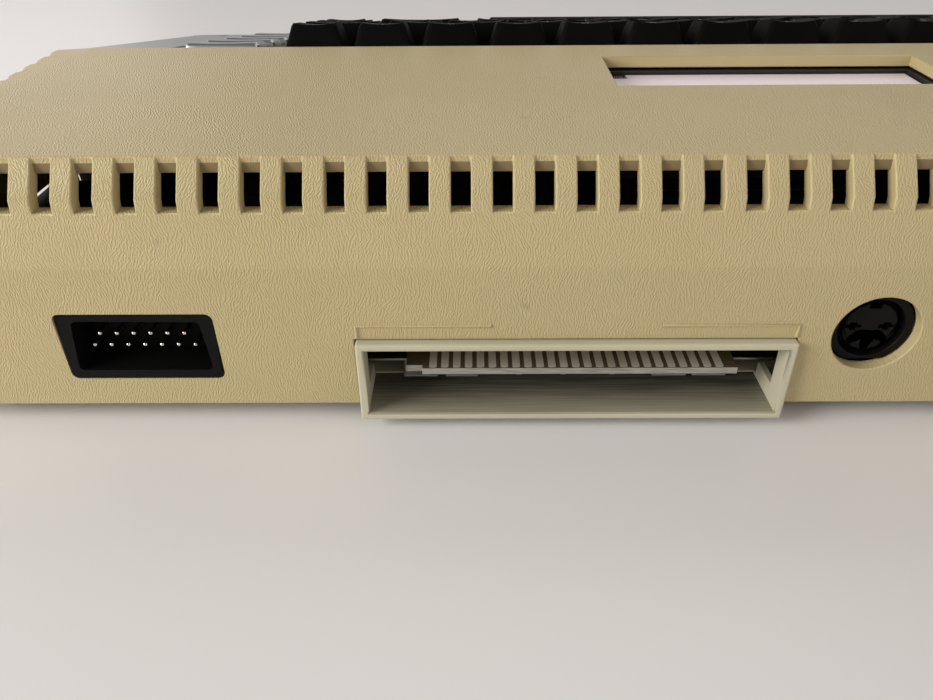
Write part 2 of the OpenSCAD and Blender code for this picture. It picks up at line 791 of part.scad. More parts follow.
module cartridge_guide() {
    inner_x = [slot_x - slot_w / 2, slot_x + slot_w / 2];
    inner_y = [slot_y - slot_d / 2, slot_y + slot_d / 2];
    color("#2c2a28") difference() {
        union() {
            block(inner_x + [-guide_t, guide_t], inner_y + [-guide_t, guide_t], [guide_z, deck_in - 0.2]);
            block(inner_x + [-guide_rim, guide_rim], inner_y + [-guide_rim, guide_rim],
                [deck_in - 0.2 - guide_t, deck_in - 0.2]);
        }
        block(inner_x, inner_y, [guide_z + guide_t, ridge_z]);
        block([slot_x - cart_socket_w / 2 - 4, slot_x + cart_socket_w / 2 + 4], inner_y + [3, -3],
            [guide_z - CUT, ridge_z]);
        for (y = [hinge_front, hinge_rear])
            along_x([inner_x[0] - guide_t / 2 - 0.1, inner_x[1] + guide_t / 2 + 0.1], y, hinge_z, pin_r + 0.02);
    }
}

module cartridge_socket() {
    x = [slot_x - cart_socket_w / 2, slot_x + cart_socket_w / 2];
    y = [slot_y - cart_socket_d / 2, slot_y + cart_socket_d / 2];
    z = [board_top, board_top + cart_socket_h];
    color("#39413f") difference() {
        block(x, y, z);
        block(x + [4, -4], [slot_y - cart_socket_slot / 2, slot_y + cart_socket_slot / 2],
            [z[1] - 9, z[1] + CUT]);
    }
}

// ---------- boards and what stands on them ----------

module main_board() {
    color("#3d5a34") difference() {
        union() {
            block([board_l, board_r], [board_front, board_rear], [board_z, board_top]);
            block([shroud_x - edge_w / 2, shroud_x + edge_w / 2], [board_rear - CUT, edge_y],
                [board_z, board_top]);
        }
        for (at = board_posts) translate([at[0], at[1], board_z - CUT])
            cylinder(h = board_t + 2 * CUT, r = screw_r + 0.1);
        // keying step at one end of the expansion edge
        block([shroud_x + edge_w / 2 - 3.5, shroud_x + edge_w], [edge_y - 1.2, edge_y + CUT],
            [board_z - CUT, board_top + CUT]);
    }
}

module expansion_contacts() {
    first = shroud_x - 1 - (edge_n - 1) / 2 * edge_pitch;
    color("#b9a877") for (i = [0:edge_n - 1], z = [board_top, board_z - 0.1])
        block([first + i * edge_pitch - 0.8, first + i * edge_pitch + 0.8], [edge_y - 9, edge_y - 0.3],
            [z, z + 0.1]);
}

module chips() {
    color("#1d1d1f") for (c = chip_places) block([c[0] - c[2] / 2, c[0] + c[2] / 2],
        [c[1] - c[3] / 2, c[1] + c[3] / 2], [board_top + 0.3, board_top + 4.5]);
    color("silver") for (c = chip_places, s = [-1, 1], i = [0:floor(c[2] / 5.08) - 1])
        translate([c[0] - c[2] / 2 + 2 + i * 5.08, c[1] + s * (c[3] / 2 + 0.4), board_top])
            block([0, 1], [-0.4, 0.4], [0, 2.2]);
}

module capacitors() {
    color("#31506f") for (c = capacitor_places) translate([c[0], c[1], board_top])
        cylinder(h = capacitor_h, r = capacitor_w);
}

module radio_modulator() {
    color("#a9abac") difference() {
        block(can_x, can_y, [board_top, board_top + can_h]);
        block(can_x + [can_t, -can_t], can_y + [can_t, -can_t], [board_top + can_t, board_top + can_h - can_t]);
    }
}

// the jack ends just inside its hole in the rear wall
module tv_jack() {
    tip = rear_in - jack_back;
    color("silver") difference() {
        union() {
            along_y(tv_x, [can_y[1], tip], port_z, jack_r);
            along_y(tv_x, [can_y[1], can_y[1] + jack_flange_t], port_z, jack_flange_r);
        }
        along_y(tv_x, [tip - jack_deep, tip + CUT], port_z, jack_bore_r);
    }
}

module upper_shield() {
    color("#a5a7a3") difference() {
        block([shield_l, shield_r], [shield_front, shield_rear], [board_top, shield_top_z]);
        block([shield_l + shield_t, shield_r - shield_t], [shield_front + shield_t, shield_rear - shield_t],
            [board_top - CUT, shield_top_z - shield_t]);
        block([slot_x - cart_socket_w / 2 - 2, slot_x + cart_socket_w / 2 + 2],
            [slot_y - cart_socket_d / 2 - 2, slot_y + cart_socket_d / 2 + 2], [board_top, shield_top_z + CUT]);
        block([ribbon_x[0] - 4, ribbon_x[1] + 4], [ribbon_plug_y - 5, ribbon_plug_y + 12],
            [board_top, shield_top_z + CUT]);
        for (at = board_posts) translate([at[0], at[1], board_top - CUT]) cylinder(h = 20, r = 4);
        for (i = [0:vane_n - 1]) translate([shield_l + vane_pitch * (i + 0.7), 18, shield_top_z - CUT])
            cube([vane_w, vane_d, 3]);
    }
}

module lower_shield() {
    color("#c6c8c6") difference() {
        union() {
            block([shield_l, shield_r], [shield_front, board_rear], [shield_z, shield_z + shield_t]);
            for (t = tab_places) {
                block([shroud_x + t[0], shroud_x + t[1]], [board_rear - 0.6, board_rear],
                    [base_z + 0.4, shield_z + shield_t]);
                block([shroud_x + t[0], shroud_x + t[1]], [board_rear - 0.6, tube_y + 1.6],
                    [base_z + 0.3, base_z + 0.9]);
            }
            for (x = pin_places) block([shroud_x + x - 0.6, shroud_x + x + 0.6],
                [board_rear - 0.6, tube_y + 0.9], [base_z + 0.3, board_z - 0.6]);
            for (x = [shield_l + 6, shield_r - 6, 0], y = [shield_front + 6, 60])
                translate([x, y, shield_z]) cylinder(h = board_z - shield_z - 0.1, r = 2);
        }
        for (at = board_posts) translate([at[0], at[1], shield_z - CUT]) cylinder(h = 4, r = post_r + 0.4);
    }
}

module peripheral_socket() {
    x = [serial_x - serial_w / 2, serial_x + serial_w / 2];
    z = [serial_z - serial_h / 2, serial_z + serial_h / 2];
    front = wall_y - 0.9;
    color("#191919") difference() {
        union() {
            translate([serial_x, 0, 0]) upright_plate(serial_w, [board_rear + FIT, front], z, serial_r);
            block(x, [board_rear - 14, board_rear + 1], [board_top, z[1] - 1]);
        }
        translate([serial_x, front + CUT, 0]) rotate([90, 0, 0]) linear_extrude(10)
            offset(r = mouth_r) offset(delta = -mouth_r)
                polygon([[-14.1, z[0] + 2], [14.1, z[0] + 2], [12.9, z[1] - 1.9], [-12.9, z[1] - 1.9]]);
    }
}

module peripheral_pins() {
    for (row = [0, 1], i = [0:5 + row])
        along_y(serial_x + (i - (5 + row) / 2) * pin_pitch,
            [wall_y - 9.9, wall_y - 2.8], serial_z + 1.9 - 2.8 * row, pin_wire_r);
}

module round_socket(x, body_y, face) {
    color("#151515") difference() {
        union() {
            along_y(x, [face - 6, face], port_z, din_r - 0.35);
            block([x - socket_w / 2, x + socket_w / 2], [body_y, rear_in - 1.4],
                [board_top, board_top + socket_h]);
        }
        // groove round the contact disc, which lies a little deeper than the ring
        difference() {
            along_y(x, [face - 4, face + CUT], port_z, disc_r + groove);
            along_y(x, [face - 5, face - disc_sink], port_z, disc_r);
        }
        // five contact slots in the lower arc, each wider at its middle
        for (a = [-90, -45, 0, 45, 90]) translate([x, face - 4, port_z]) rotate([0, -a, 0])
            translate([0, 0, -contact_r]) {
                block([-0.4, 0.4], [0, 4 + CUT], [-1.7, 1.7]);
                block([-0.9, 0.9], [0, 4 + CUT], [-0.7, 0.7]);
            }
        // key notch at the top, and the flat at the foot of the ring
        block([x - 1.2, x + 1.2], [face - 4, face + CUT], [port_z + disc_r - 1.3, port_z + disc_r + groove]);
        block([x - din_r, x + din_r], [face - 1.2, face + CUT], [port_z - din_r - CUT, port_z - din_r + 1.3]);
    }
}

module monitor_socket() {
    round_socket(monitor_x, board_rear - socket_deep, socket_face);
}

module power_inlet() {
    round_socket(power_x, board_rear - socket_deep, socket_face);
}

module channel_switch() {
    color("#202020") difference() {
        block([channel_x - channel_w / 2, channel_x + channel_w / 2], [board_rear - switch_deep, rear_in - 0.3],
            [board_top, port_z + 5]);
        block([channel_x - slide_half - 0.3, channel_x + slide_half + 0.3], [rear_in - 4, rear_in + CUT],
            [port_z - slide_h / 2 - 0.3, port_z + slide_h / 2 + 0.3]);
    }
}

module channel_slider() {
    color("#e6e6e2") block([channel_x - slide_half, channel_x - slide_half + slide_w],
        [rear_in - 3.7, wall_y - 1.2], [port_z - slide_h / 2, port_z + slide_h / 2]);
}

module power_switch() {
    color("#181818") difference() {
        union() {
            block([rocker_x - rocker_w / 2, rocker_x + rocker_w / 2], [board_rear - switch_deep, wall_y - 1.6],
                [port_z - rocker_h / 2, port_z + rocker_h / 2]);
            block([rocker_x - rocker_w / 2, rocker_x + rocker_w / 2],
                [board_rear - switch_deep, board_rear - 0.5], [board_top, port_z]);
        }
        block([rocker_x - rocker_w / 2 + 1.5, rocker_x + rocker_w / 2 - 1.5], [wall_y - 13, rear_y],
            [port_z - rocker_h / 2 + 1.5, port_z + rocker_h / 2 - 1.5]);
        along_x([rocker_x - rocker_w / 2 + 0.5, rocker_x + rocker_w / 2 - 0.5], rocker_axis_y, port_z, 1.25);
    }
}

// a wide V that rocks about its pin: the upper half stands out, the lower half lies in
module power_rocker() {
    half = rocker_w / 2 - 2;
    high = rocker_h / 2 - rocker_room;
    color("#111111") translate([rocker_x, rocker_axis_y, port_z]) {
        translate([-half, 0, 0]) rotate([90, 0, 90]) linear_extrude(2 * half)
            polygon([[-4, -high + 2.5], [-4, high - 2.5], [1.2, high - 0.5], [3.4, high],
                [1.7, 0], [2.2, -high + 1.6], [0.6, -high + 0.6]]);
        along_x([-half - 1.35, half + 1.35], 0, 0, 1.2);
    }
}

// the outline of a controller socket: a trapezoid, wide at the top
module wedge(w, half_h) {
    polygon([[-w / 2, half_h], [w / 2, half_h], [w / 2 - 1.4, -half_h], [1.4 - w / 2, -half_h]]);
}

module controller_sockets() {
    face = controller_face;
    color("#222222") for (y = controllers) translate([0, y, controller_z]) difference() {
        union() {
            block([face - controller_deep, face - controller_nose], [-controller_w / 2, controller_w / 2],
                [board_top - controller_z, controller_up]);
            rotate([90, 0, 90]) translate([0, 0, face - controller_nose]) linear_extrude(controller_nose + CUT)
                wedge(2 * nose_half, nose_half_h);
        }
        rotate([90, 0, 90]) translate([0, 0, face - controller_nose - 0.5]) linear_extrude(8)
            wedge(2 * nose_half - 3.6, nose_half_h - 1.3);
    }
}

module controller_pins() {
    for (y = controllers, row = [0, 1], i = [0:4 - row])
        along_x([controller_face - controller_nose - 0.5, controller_face - 0.5],
            y + (i - (4 - row) / 2) * controller_pitch,
            controller_z + (0.5 - row) * controller_row, pin_wire_r);
}

module connector_pins() {
    color("silver") peripheral_pins();
    color("silver") controller_pins();
}

// ---------- the model ----------

top_shell();
bottom_shell();
keyboard_surround();
metal_strip();
power_lamp();
door_front();
door_rear();
door_pins();
door_springs();
cartridge_guide();
cartridge_socket();
main_board();
expansion_contacts();
chips();
capacitors();
radio_modulator();
tv_jack();
upper_shield();
lower_shield();
peripheral_socket();
monitor_socket();
power_inlet();
channel_switch();
channel_slider();
power_switch();
power_rocker();
controller_sockets();
connector_pins();
keyboard_plate();
dome_sheet();
contact_sheet();
keyboard_back();
ribbon_cable();
feet();
screws();
space_bar();
return_key();
upper_letter_keys();
middle_letter_keys();
lower_letter_keys();
for (i = [1:row_n]) number_key(i);
for (i = [1:console_n]) console_key(i);
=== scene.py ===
"""A one-piece home computer, seen from behind: its moulded case, ports, cartridge doors and keyboard."""

import json
import math

import bmesh
import bpy
from mathutils import Matrix, Vector
from mathutils.bvhtree import BVHTree

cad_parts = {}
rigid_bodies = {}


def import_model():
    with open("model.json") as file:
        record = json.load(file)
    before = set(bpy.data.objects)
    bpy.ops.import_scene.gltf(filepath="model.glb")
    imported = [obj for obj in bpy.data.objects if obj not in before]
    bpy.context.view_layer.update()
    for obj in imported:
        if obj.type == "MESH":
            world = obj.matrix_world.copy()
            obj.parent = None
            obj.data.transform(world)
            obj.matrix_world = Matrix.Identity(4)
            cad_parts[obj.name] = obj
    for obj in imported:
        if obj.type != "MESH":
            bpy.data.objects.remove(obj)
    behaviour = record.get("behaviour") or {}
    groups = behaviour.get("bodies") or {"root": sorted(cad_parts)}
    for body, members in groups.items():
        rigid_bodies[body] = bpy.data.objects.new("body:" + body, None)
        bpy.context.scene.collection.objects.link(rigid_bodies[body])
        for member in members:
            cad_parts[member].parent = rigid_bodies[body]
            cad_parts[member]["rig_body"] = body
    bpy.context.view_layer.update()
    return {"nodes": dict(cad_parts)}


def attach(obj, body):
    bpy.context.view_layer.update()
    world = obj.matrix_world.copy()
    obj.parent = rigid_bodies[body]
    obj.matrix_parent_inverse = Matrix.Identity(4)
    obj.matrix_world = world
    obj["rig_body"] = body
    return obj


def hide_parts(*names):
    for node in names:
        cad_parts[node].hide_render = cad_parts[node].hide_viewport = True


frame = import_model()
nodes = frame["nodes"]
MM = 0.001

# ---------- camera ----------
# It stands behind the machine, 13 cm from the rear wall and a little to the user's right of
# the middle, and looks down at the ports.
camera_data = bpy.data.cameras.new("camera")
camera_data.sensor_width = 36.0
camera_data.lens = 30.29
camera_data.clip_start = 0.005
camera = bpy.data.objects.new("camera", camera_data)
bpy.context.scene.collection.objects.link(camera)
camera_pitch = math.radians(33.819)
camera_yaw = math.radians(-0.4905)
camera_roll = math.radians(-0.4485)
ahead = Vector((-math.sin(camera_yaw), -math.cos(camera_yaw), 0)) * math.cos(camera_pitch)
ahead.z = -math.sin(camera_pitch)
right = Vector((-math.cos(camera_yaw), math.sin(camera_yaw), 0))
right = Matrix.Rotation(camera_roll, 3, -ahead) @ right
turn = Matrix((right, right.cross(ahead), -ahead)).transposed()
camera.location = (0.066614, 0.240835, 0.10935)
camera.rotation_euler = turn.to_euler()
bpy.context.scene.camera = camera


# ---------- places on the machine ----------
# The rear wall is fullest at the foot of a bevel, which leans in as it rises to the deck. The
# vent slots are cut into that bevel.
BEVEL_Y = 105.4 * MM
BEVEL_Z = 52.1 * MM
BEVEL_RISE = 6.6 * MM
BEVEL_LEAN = 4.9 * MM
SLOT_TOP = BEVEL_Z + BEVEL_RISE
# The case's other walls, and a place well behind it, from where rays are cast.
FRONT_WALL_Y = -100 * MM
SIDE_WALL_X = 181 * MM
FAR_BEHIND = 200 * MM
# The keys' plane tilts down towards the front, and the face of the surround lies over it.
KEYS_REAR = 15 * MM
KEYS_TILT = math.radians(10)
KEYS_HEIGHT = 55.5 * MM
SURROUND_HEIGHT = 57.9 * MM
keyboard = Matrix.Translation((0, KEYS_REAR, KEYS_HEIGHT)) @ Matrix.Rotation(KEYS_TILT, 4, "X")
into_keyboard = keyboard.inverted()
# Vertices of a solid that lie this close are one, and edges over this angle are sharp.
WELD = 0.002 * MM
SHARP_DEGREES = 28


# ---------- top shell ----------
# A deep cream moulding with a leather grain on its outside. Its edges are softly rounded, as
# they come from the mould, above all on the fins between the vent slots.
def piece_from(mesh, name):
    """A new object at the origin, which holds that mesh."""
    obj = bpy.data.objects.new(name, mesh)
    bpy.context.scene.collection.objects.link(obj)
    return obj


def fitted(obj, node):
    """The piece stands for a solid, which is hidden, and rides on its body."""
    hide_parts(node)
    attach(obj, nodes[node]["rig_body"])
    return obj


def smooth_shaded(mesh, least_angle):
    """Shades a mesh smooth, but for its edges over that angle in degrees."""
    for polygon in mesh.polygons:
        polygon.use_smooth = True
    mesh.set_sharp_from_angle(angle=math.radians(least_angle))


def whole_faces(node):
    """A solid's mesh with its triangles joined into whole faces, as a bmesh."""
    bm = bmesh.new()
    bm.from_mesh(nodes[node].data)
    bmesh.ops.remove_doubles(bm, verts=bm.verts, dist=WELD)
    bmesh.ops.dissolve_limit(
        bm, angle_limit=math.radians(0.6), verts=bm.verts, edges=bm.edges, use_dissolve_boundaries=False
    )
    return bm


def rounded(node, name, radius, material, segments=3, stays_sharp=None):
    """A piece that stands for a solid, with the edges that show from outside rounded off."""
    bm = whole_faces(node)
    weight = bm.edges.layers.float.new("bevel_weight_edge")
    solid = BVHTree.FromBMesh(bm)
    for edge in bm.edges:
        if len(edge.link_faces) != 2 or edge.calc_face_angle(0) < math.radians(SHARP_DEGREES):
            continue
        outward = (edge.link_faces[0].normal + edge.link_faces[1].normal).normalized()
        middle = (edge.verts[0].co + edge.verts[1].co) / 2
        facing_down = outward.z < -0.9
        hidden = facing_down or solid.ray_cast(middle + outward * 0.2 * MM, outward)[0] is not None
        short = edge.calc_length() < 0.3 * MM
        if not (hidden or short or (stays_sharp and stays_sharp(middle))):
            edge[weight] = 1.0
    mesh = bpy.data.meshes.new(name)
    bm.to_mesh(mesh)
    bm.free()
    mesh.materials.append(material)
    smooth_shaded(mesh, SHARP_DEGREES)
    obj = piece_from(mesh, name)
    edges = obj.modifiers.new("edges", "BEVEL")
    edges.width = radius
    edges.segments = segments
    edges.limit_method = "WEIGHT"
    edges.miter_outer = "MITER_SHARP"
    edges.use_clamp_overlap = False
    edges.loop_slide = False
    normals = obj.modifiers.new("normals", "WEIGHTED_NORMAL")
    normals.keep_sharp = True
    return fitted(obj, node)


def new_material(name):
    """An empty node material with its shader: (material, tree, shader)."""
    material = bpy.data.materials.new(name)
    material.use_nodes = True
    return material, material.node_tree, material.node_tree.nodes["Principled BSDF"]


def group_sockets(tree, inputs, outputs):
    """Names the sockets of a node group; an input is (name, type, value)."""
    for name, kind, value in inputs:
        socket = tree.interface.new_socket(name=name, in_out="INPUT", socket_type=kind)
        if value is not None:
            socket.default_value = value
    for name, kind in outputs:
        tree.interface.new_socket(name=name, in_out="OUTPUT", socket_type=kind)


def feed(tree, value, socket):
    """Gives a socket what it takes: a link from another socket, or a plain value."""
    if isinstance(value, bpy.types.NodeSocket):
        tree.links.new(value, socket)
    else:
        socket.default_value = value


def new_node(tree, kind, **inputs):
    """A new node with the inputs that are named, each fed with a link or a value."""
    node = tree.nodes.new(kind)
    for name, value in inputs.items():
        feed(tree, value, node.inputs[name.replace("_", " ")])
    return node


def identified(sockets, identifier):
    """The socket with that identifier."""
    return next(s for s in sockets if s.identifier == identifier)


def math_node(tree, operation, a, b=None, clamp=False):
    """A Math node on two values, each a socket or a number."""
    node = tree.nodes.new("ShaderNodeMath")
    node.operation = operation
    node.use_clamp = clamp
    feed(tree, a, node.inputs[0])
    if b is not None:
        feed(tree, b, node.inputs[1])
    return node.outputs[0]


def times(tree, a, b, clamp=False):
    """The product of two values."""
    return math_node(tree, "MULTIPLY", a, b, clamp)


def above(tree, value, limit):
    """One where a value is over a limit, and zero elsewhere."""
    return math_node(tree, "GREATER_THAN", value, limit)


def size_of(tree, value):
    """A value without its sign."""
    return math_node(tree, "ABSOLUTE", value)


def rest_of(tree, value):
    """One minus a value."""
    return math_node(tree, "SUBTRACT", 1.0, value)


def map_range(tree, value, low, high, to_low=0.0, to_high=1.0):
    """A smooth Map Range node from one span to another."""
    spans = {"From_Min": low, "From_Max": high, "To_Min": to_low, "To_Max": to_high}
    node = new_node(tree, "ShaderNodeMapRange", Value=value, **spans)
    node.interpolation_type = "SMOOTHSTEP"
    return node.outputs["Result"]


def mixed_colour(tree, factor, a, b):
    """A Mix node on two colours, each a socket or a value."""
    node = tree.nodes.new("ShaderNodeMix")
    node.data_type = "RGBA"
    for name, value in (("Factor_Float", factor), ("A_Color", a), ("B_Color", b)):
        value = (*value, 1.0) if isinstance(value, (tuple, list)) else value
        feed(tree, value, identified(node.inputs, name))
    return identified(node.outputs, "Result_Color")


def noise(tree, place, scale, detail=2.0, stretch=None):
    """A Noise node on a place, finer with a greater scale, and stretched where that is given."""
    if stretch:
        place = new_node(tree, "ShaderNodeMapping", Vector=place, Scale=stretch).outputs["Vector"]
    return new_node(tree, "ShaderNodeTexNoise", Vector=place, Scale=scale, Detail=detail).outputs["Fac"]


def flat_noise(tree, place, scale, detail):
    """A Noise node on a flat place."""
    node = new_node(tree, "ShaderNodeTexNoise", Vector=place, Scale=scale, Detail=detail)
    node.noise_dimensions = "2D"
    return node


def object_place(tree):
    """The point's own place on the machine."""
    return tree.nodes.new("ShaderNodeTexCoord").outputs["Object"]


def separated(tree, vector):
    """The X, Y and Z outputs of a vector."""
    return new_node(tree, "ShaderNodeSeparateXYZ", Vector=vector).outputs


def combined(tree, x, y):
    """A flat place from its two outputs."""
    return new_node(tree, "ShaderNodeCombineXYZ", X=x, Y=y).outputs[0]


def face_normal(tree, kind="Normal"):
    """The X, Y and Z outputs of the face's normal."""
    return separated(tree, tree.nodes.new("ShaderNodeNewGeometry").outputs[kind])


# The grain: how often the sheet is pulled and how far, how often its ridges lean, how many waves
# of the pattern make a ridge, how deep under the bevel's face it still shows, and where the walls
# behind the fins begin, which get painted shade.
PULLS_PER_METRE = 600.0
PULL_REACH = 0.6 * MM
LEANS_PER_METRE = 95.0
WAVES_IN_A_RIDGE = 1.15
FACE_SKIN = 0.9 * MM
BEHIND_FINS_Y = 94 * MM


def leather_grain_group():
    """Short wavy ridges that run down a wall and over the deck, as a height from 0 to 1."""
    tree = bpy.data.node_groups.new("leather_grain", "ShaderNodeTree")
    group_sockets(
        tree,
        [("Ridges per metre", "NodeSocketFloat", 1650.0), ("Waviness", "NodeSocketFloat", 0.55)],
        [("Height", "NodeSocketFloat"), ("Relief", "NodeSocketFloat"), ("Recess", "NodeSocketFloat")],
    )
    start = tree.nodes.new("NodeGroupInput")
    end = tree.nodes.new("NodeGroupOutput")
    place = object_place(tree)
    at, normal = separated(tree, place), face_normal(tree)
    # the sheet is laid over the rear wall and the deck: Y turns into the same way as Z
    over = combined(tree, at["X"], math_node(tree, "SUBTRACT", at["Z"], at["Y"]))
    side = combined(tree, at["Y"], at["Z"])
    sideways = above(tree, size_of(tree, normal["X"]), 0.75)
    sheet = tree.nodes.new("ShaderNodeMix")
    sheet.data_type = "VECTOR"
    for name, output in (("Factor_Float", sideways), ("A_Vector", over), ("B_Vector", side)):
        tree.links.new(output, identified(sheet.inputs, name))
    sheet_place = identified(sheet.outputs, "Result_Vector")
    # the sheet is pulled a little to and fro, which makes the ridges wavy and lets them fork
    pull = flat_noise(tree, sheet_place, PULLS_PER_METRE, 1.0)
    pulled = tree.nodes.new("ShaderNodeVectorMath")
    pulled.operation = "MULTIPLY_ADD"
    pulled.inputs[1].default_value = (PULL_REACH, PULL_REACH, 0.0)
    tree.links.new(pull.outputs["Color"], pulled.inputs[0])
    tree.links.new(sheet_place, pulled.inputs[2])
    # the ridges lean one way and another over a few millimetres
    lean = flat_noise(tree, sheet_place, LEANS_PER_METRE, 2.0)
    off_upright = math_node(tree, "SUBTRACT", lean.outputs["Fac"], 0.5)
    angle = times(tree, off_upright, start.outputs["Waviness"])
    angle = times(tree, angle, 4.0)
    scale = math_node(tree, "DIVIDE", start.outputs["Ridges per metre"], WAVES_IN_A_RIDGE)
    ridges = new_node(tree, "ShaderNodeTexGabor", Vector=pulled.outputs[0], Scale=scale, Anisotropy=0.88)
    ridges.gabor_type = "2D"
    ridges.inputs["Frequency"].default_value = WAVES_IN_A_RIDGE
    orientation = next(s for s in ridges.inputs if s.name == "Orientation" and s.type == "VALUE")
    tree.links.new(angle, orientation)
    fine = noise(tree, place, 3600.0)
    relief = map_range(tree, ridges.outputs["Value"], 0.32, 0.68)
    # only the outside is grained: not the slots, nor the walls of the recess in the deck
    over_foot = math_node(tree, "MAXIMUM", math_node(tree, "SUBTRACT", at["Z"], BEVEL_Z), 0.0)
    leant = times(tree, over_foot, BEVEL_LEAN / BEVEL_RISE)
    outward = math_node(tree, "ADD", at["Y"], leant)
    far_out = above(tree, outward, BEVEL_Y - FACE_SKIN)
    far_front = math_node(tree, "LESS_THAN", at["Y"], FRONT_WALL_Y)
    far_side = above(tree, size_of(tree, at["X"]), SIDE_WALL_X)
    upright = math_node(tree, "LESS_THAN", size_of(tree, normal["Z"]), 0.5)
    slot_wall = times(tree, sideways, rest_of(tree, far_side))
    outside = math_node(tree, "ADD", math_node(tree, "ADD", far_out, far_front), far_side, clamp=True)
    inside = times(tree, upright, rest_of(tree, outside))
    grained = rest_of(tree, math_node(tree, "MAXIMUM", inside, slot_wall))
    ridged = times(tree, relief, grained)
    height = math_node(tree, "ADD", ridged, times(tree, fine, 0.2))
    # the walls behind the fins, which get painted shade
    behind = above(tree, at["Y"], BEHIND_FINS_Y)
    facing = above(tree, normal["Y"], 0.5)
    recess = times(tree, inside, times(tree, behind, facing))
    smooth = math_node(tree, "MAXIMUM", relief, rest_of(tree, grained))
    for name, output in (("Height", height), ("Relief", smooth), ("Recess", recess)):
        tree.links.new(output, end.inputs[name])
    return tree


def mottle_group():
    """Slow uneven tone and handling marks, for any moulded or painted surface."""
    tree = bpy.data.node_groups.new("mottle", "ShaderNodeTree")
    group_sockets(
        tree,
        [("Patches per metre", "NodeSocketFloat", 30.0)],
        [("Patches", "NodeSocketFloat"), ("Scuffs", "NodeSocketFloat"), ("Dust", "NodeSocketFloat")],
    )
    start = tree.nodes.new("NodeGroupInput")
    end = tree.nodes.new("NodeGroupOutput")
    place = object_place(tree)
    for name, scale, detail, low, high in (
        ("Patches", start.outputs["Patches per metre"], 3.0, 0.3, 0.7),
        ("Scuffs", 170.0, 4.0, 0.70, 0.80),
        ("Dust", 1500.0, 5.0, 0.62, 0.78),
    ):
        tree.links.new(map_range(tree, noise(tree, place, scale, detail), low, high), end.inputs[name])
    return tree


leather_grain = leather_grain_group()
mottle = mottle_group()


def use_group(tree, group, **values):
    """A node group placed in a material with its own values."""
    node = tree.nodes.new("ShaderNodeGroup")
    node.node_tree = group
    for name, value in values.items():
        node.inputs[name.replace("_", " ")].default_value = value
    return node


def bump(tree, height, distance):
    """A Bump node at full strength on a height, with its distance in metres."""
    return new_node(tree, "ShaderNodeBump", Height=height, Strength=1.0, Distance=distance).outputs["Normal"]


def surface(tree, shader, colour, roughness, normal):
    """Wires up a shader's colour, roughness and normal."""
    for name, output in (("Base Color", colour), ("Roughness", roughness), ("Normal", normal)):
        tree.links.new(output, shader.inputs[name])


def cream_moulding():
    """Cream plastic, a little yellowed in patches, with the leather grain pressed into it."""
    material, tree, shader = new_material("cream_moulding")
    grain = use_group(tree, leather_grain)
    tone = use_group(tree, mottle, Patches_per_metre=14.0)
    base = mixed_colour(tree, tone.outputs["Patches"], (0.478, 0.392, 0.203), (0.508, 0.415, 0.222))
    relief = grain.outputs["Relief"]
    # painted shade: the grain's hollows are coloured a little darker
    hollow = mixed_colour(tree, map_range(tree, relief, 0.0, 0.5, 0.12, 0.0), base, (0.36, 0.285, 0.14))
    # painted shade: the walls behind the fins are coloured darker, for the shade the fins cast on them
    slot_shaded = mixed_colour(tree, grain.outputs["Recess"], hollow, (0.235, 0.175, 0.085))
    scuffed = times(tree, tone.outputs["Scuffs"], 0.35)
    worn = mixed_colour(tree, scuffed, slot_shaded, (0.16, 0.125, 0.08))
    shader.inputs["Specular IOR Level"].default_value = 0.32
    polished = map_range(tree, relief, 0.0, 1.0, 0.50, 0.37)
    surface(tree, shader, worn, polished, bump(tree, grain.outputs["Height"], 0.00006))
    return material


def in_keyboard_well(point):
    """True for the edges below the surround, where the ribs and bosses of the well are."""
    surround_z = SURROUND_HEIGHT + (point.y - KEYS_REAR) * math.tan(KEYS_TILT)
    return point.y < KEYS_REAR and point.z < surround_z - 3 * MM


shell_cream = cream_moulding()
rounded("top_shell", "top_shell_moulding", 0.3 * MM, shell_cream, stays_sharp=in_keyboard_well)


# ---------- raised lines on the rear wall ----------
# Two low mitred lines are moulded into the wall above the shroud. Each runs along it and turns
# down at the shroud's corner.
def geometry_tree(name, inputs):
    """An empty geometry tree: (tree, its start node, its end node)."""
    tree = bpy.data.node_groups.new(name, "GeometryNodeTree")
    tree.interface.new_socket(name="Geometry", in_out="INPUT", socket_type="NodeSocketGeometry")
    group_sockets(tree, inputs, [("Geometry", "NodeSocketGeometry")])
    return tree, tree.nodes.new("NodeGroupInput"), tree.nodes.new("NodeGroupOutput")


def lengths(**millimetres):
    """Length inputs for a node group, with their values in millimetres."""
    return [(name.replace("_", " "), "NodeSocketFloat", value * MM) for name, value in millimetres.items()]


def chain(tree, start, *steps):
    """Joins nodes by their first geometry sockets, one after the other, and returns the last socket."""
    for step in steps:
        tree.links.new(start, next(s for s in step.inputs if s.type == "GEOMETRY"))
        start = next(s for s in step.outputs if s.type == "GEOMETRY")
    return start


def finished(tree, end, geometry, material):
    """Closes a tree: instances made real, and the material set."""
    real = tree.nodes.new("GeometryNodeRealizeInstances")
    paint = new_node(tree, "GeometryNodeSetMaterial", Material=material)
    tree.links.new(chain(tree, geometry, real, paint), end.inputs[0])


def round_tube(tree, sides, radius):
    """A Curve to Mesh node with a round profile of that many sides."""
    profile = new_node(tree, "GeometryNodeCurvePrimitiveCircle", Resolution=sides, Radius=radius)
    return new_node(tree, "GeometryNodeCurveToMesh", Profile_Curve=profile.outputs["Curve"], Fill_Caps=True)


def on_points(tree, start, shape):
    """A node that sets a shape on each seed point."""
    return new_node(tree, "GeometryNodeInstanceOnPoints", Points=start.outputs[0], Instance=shape)


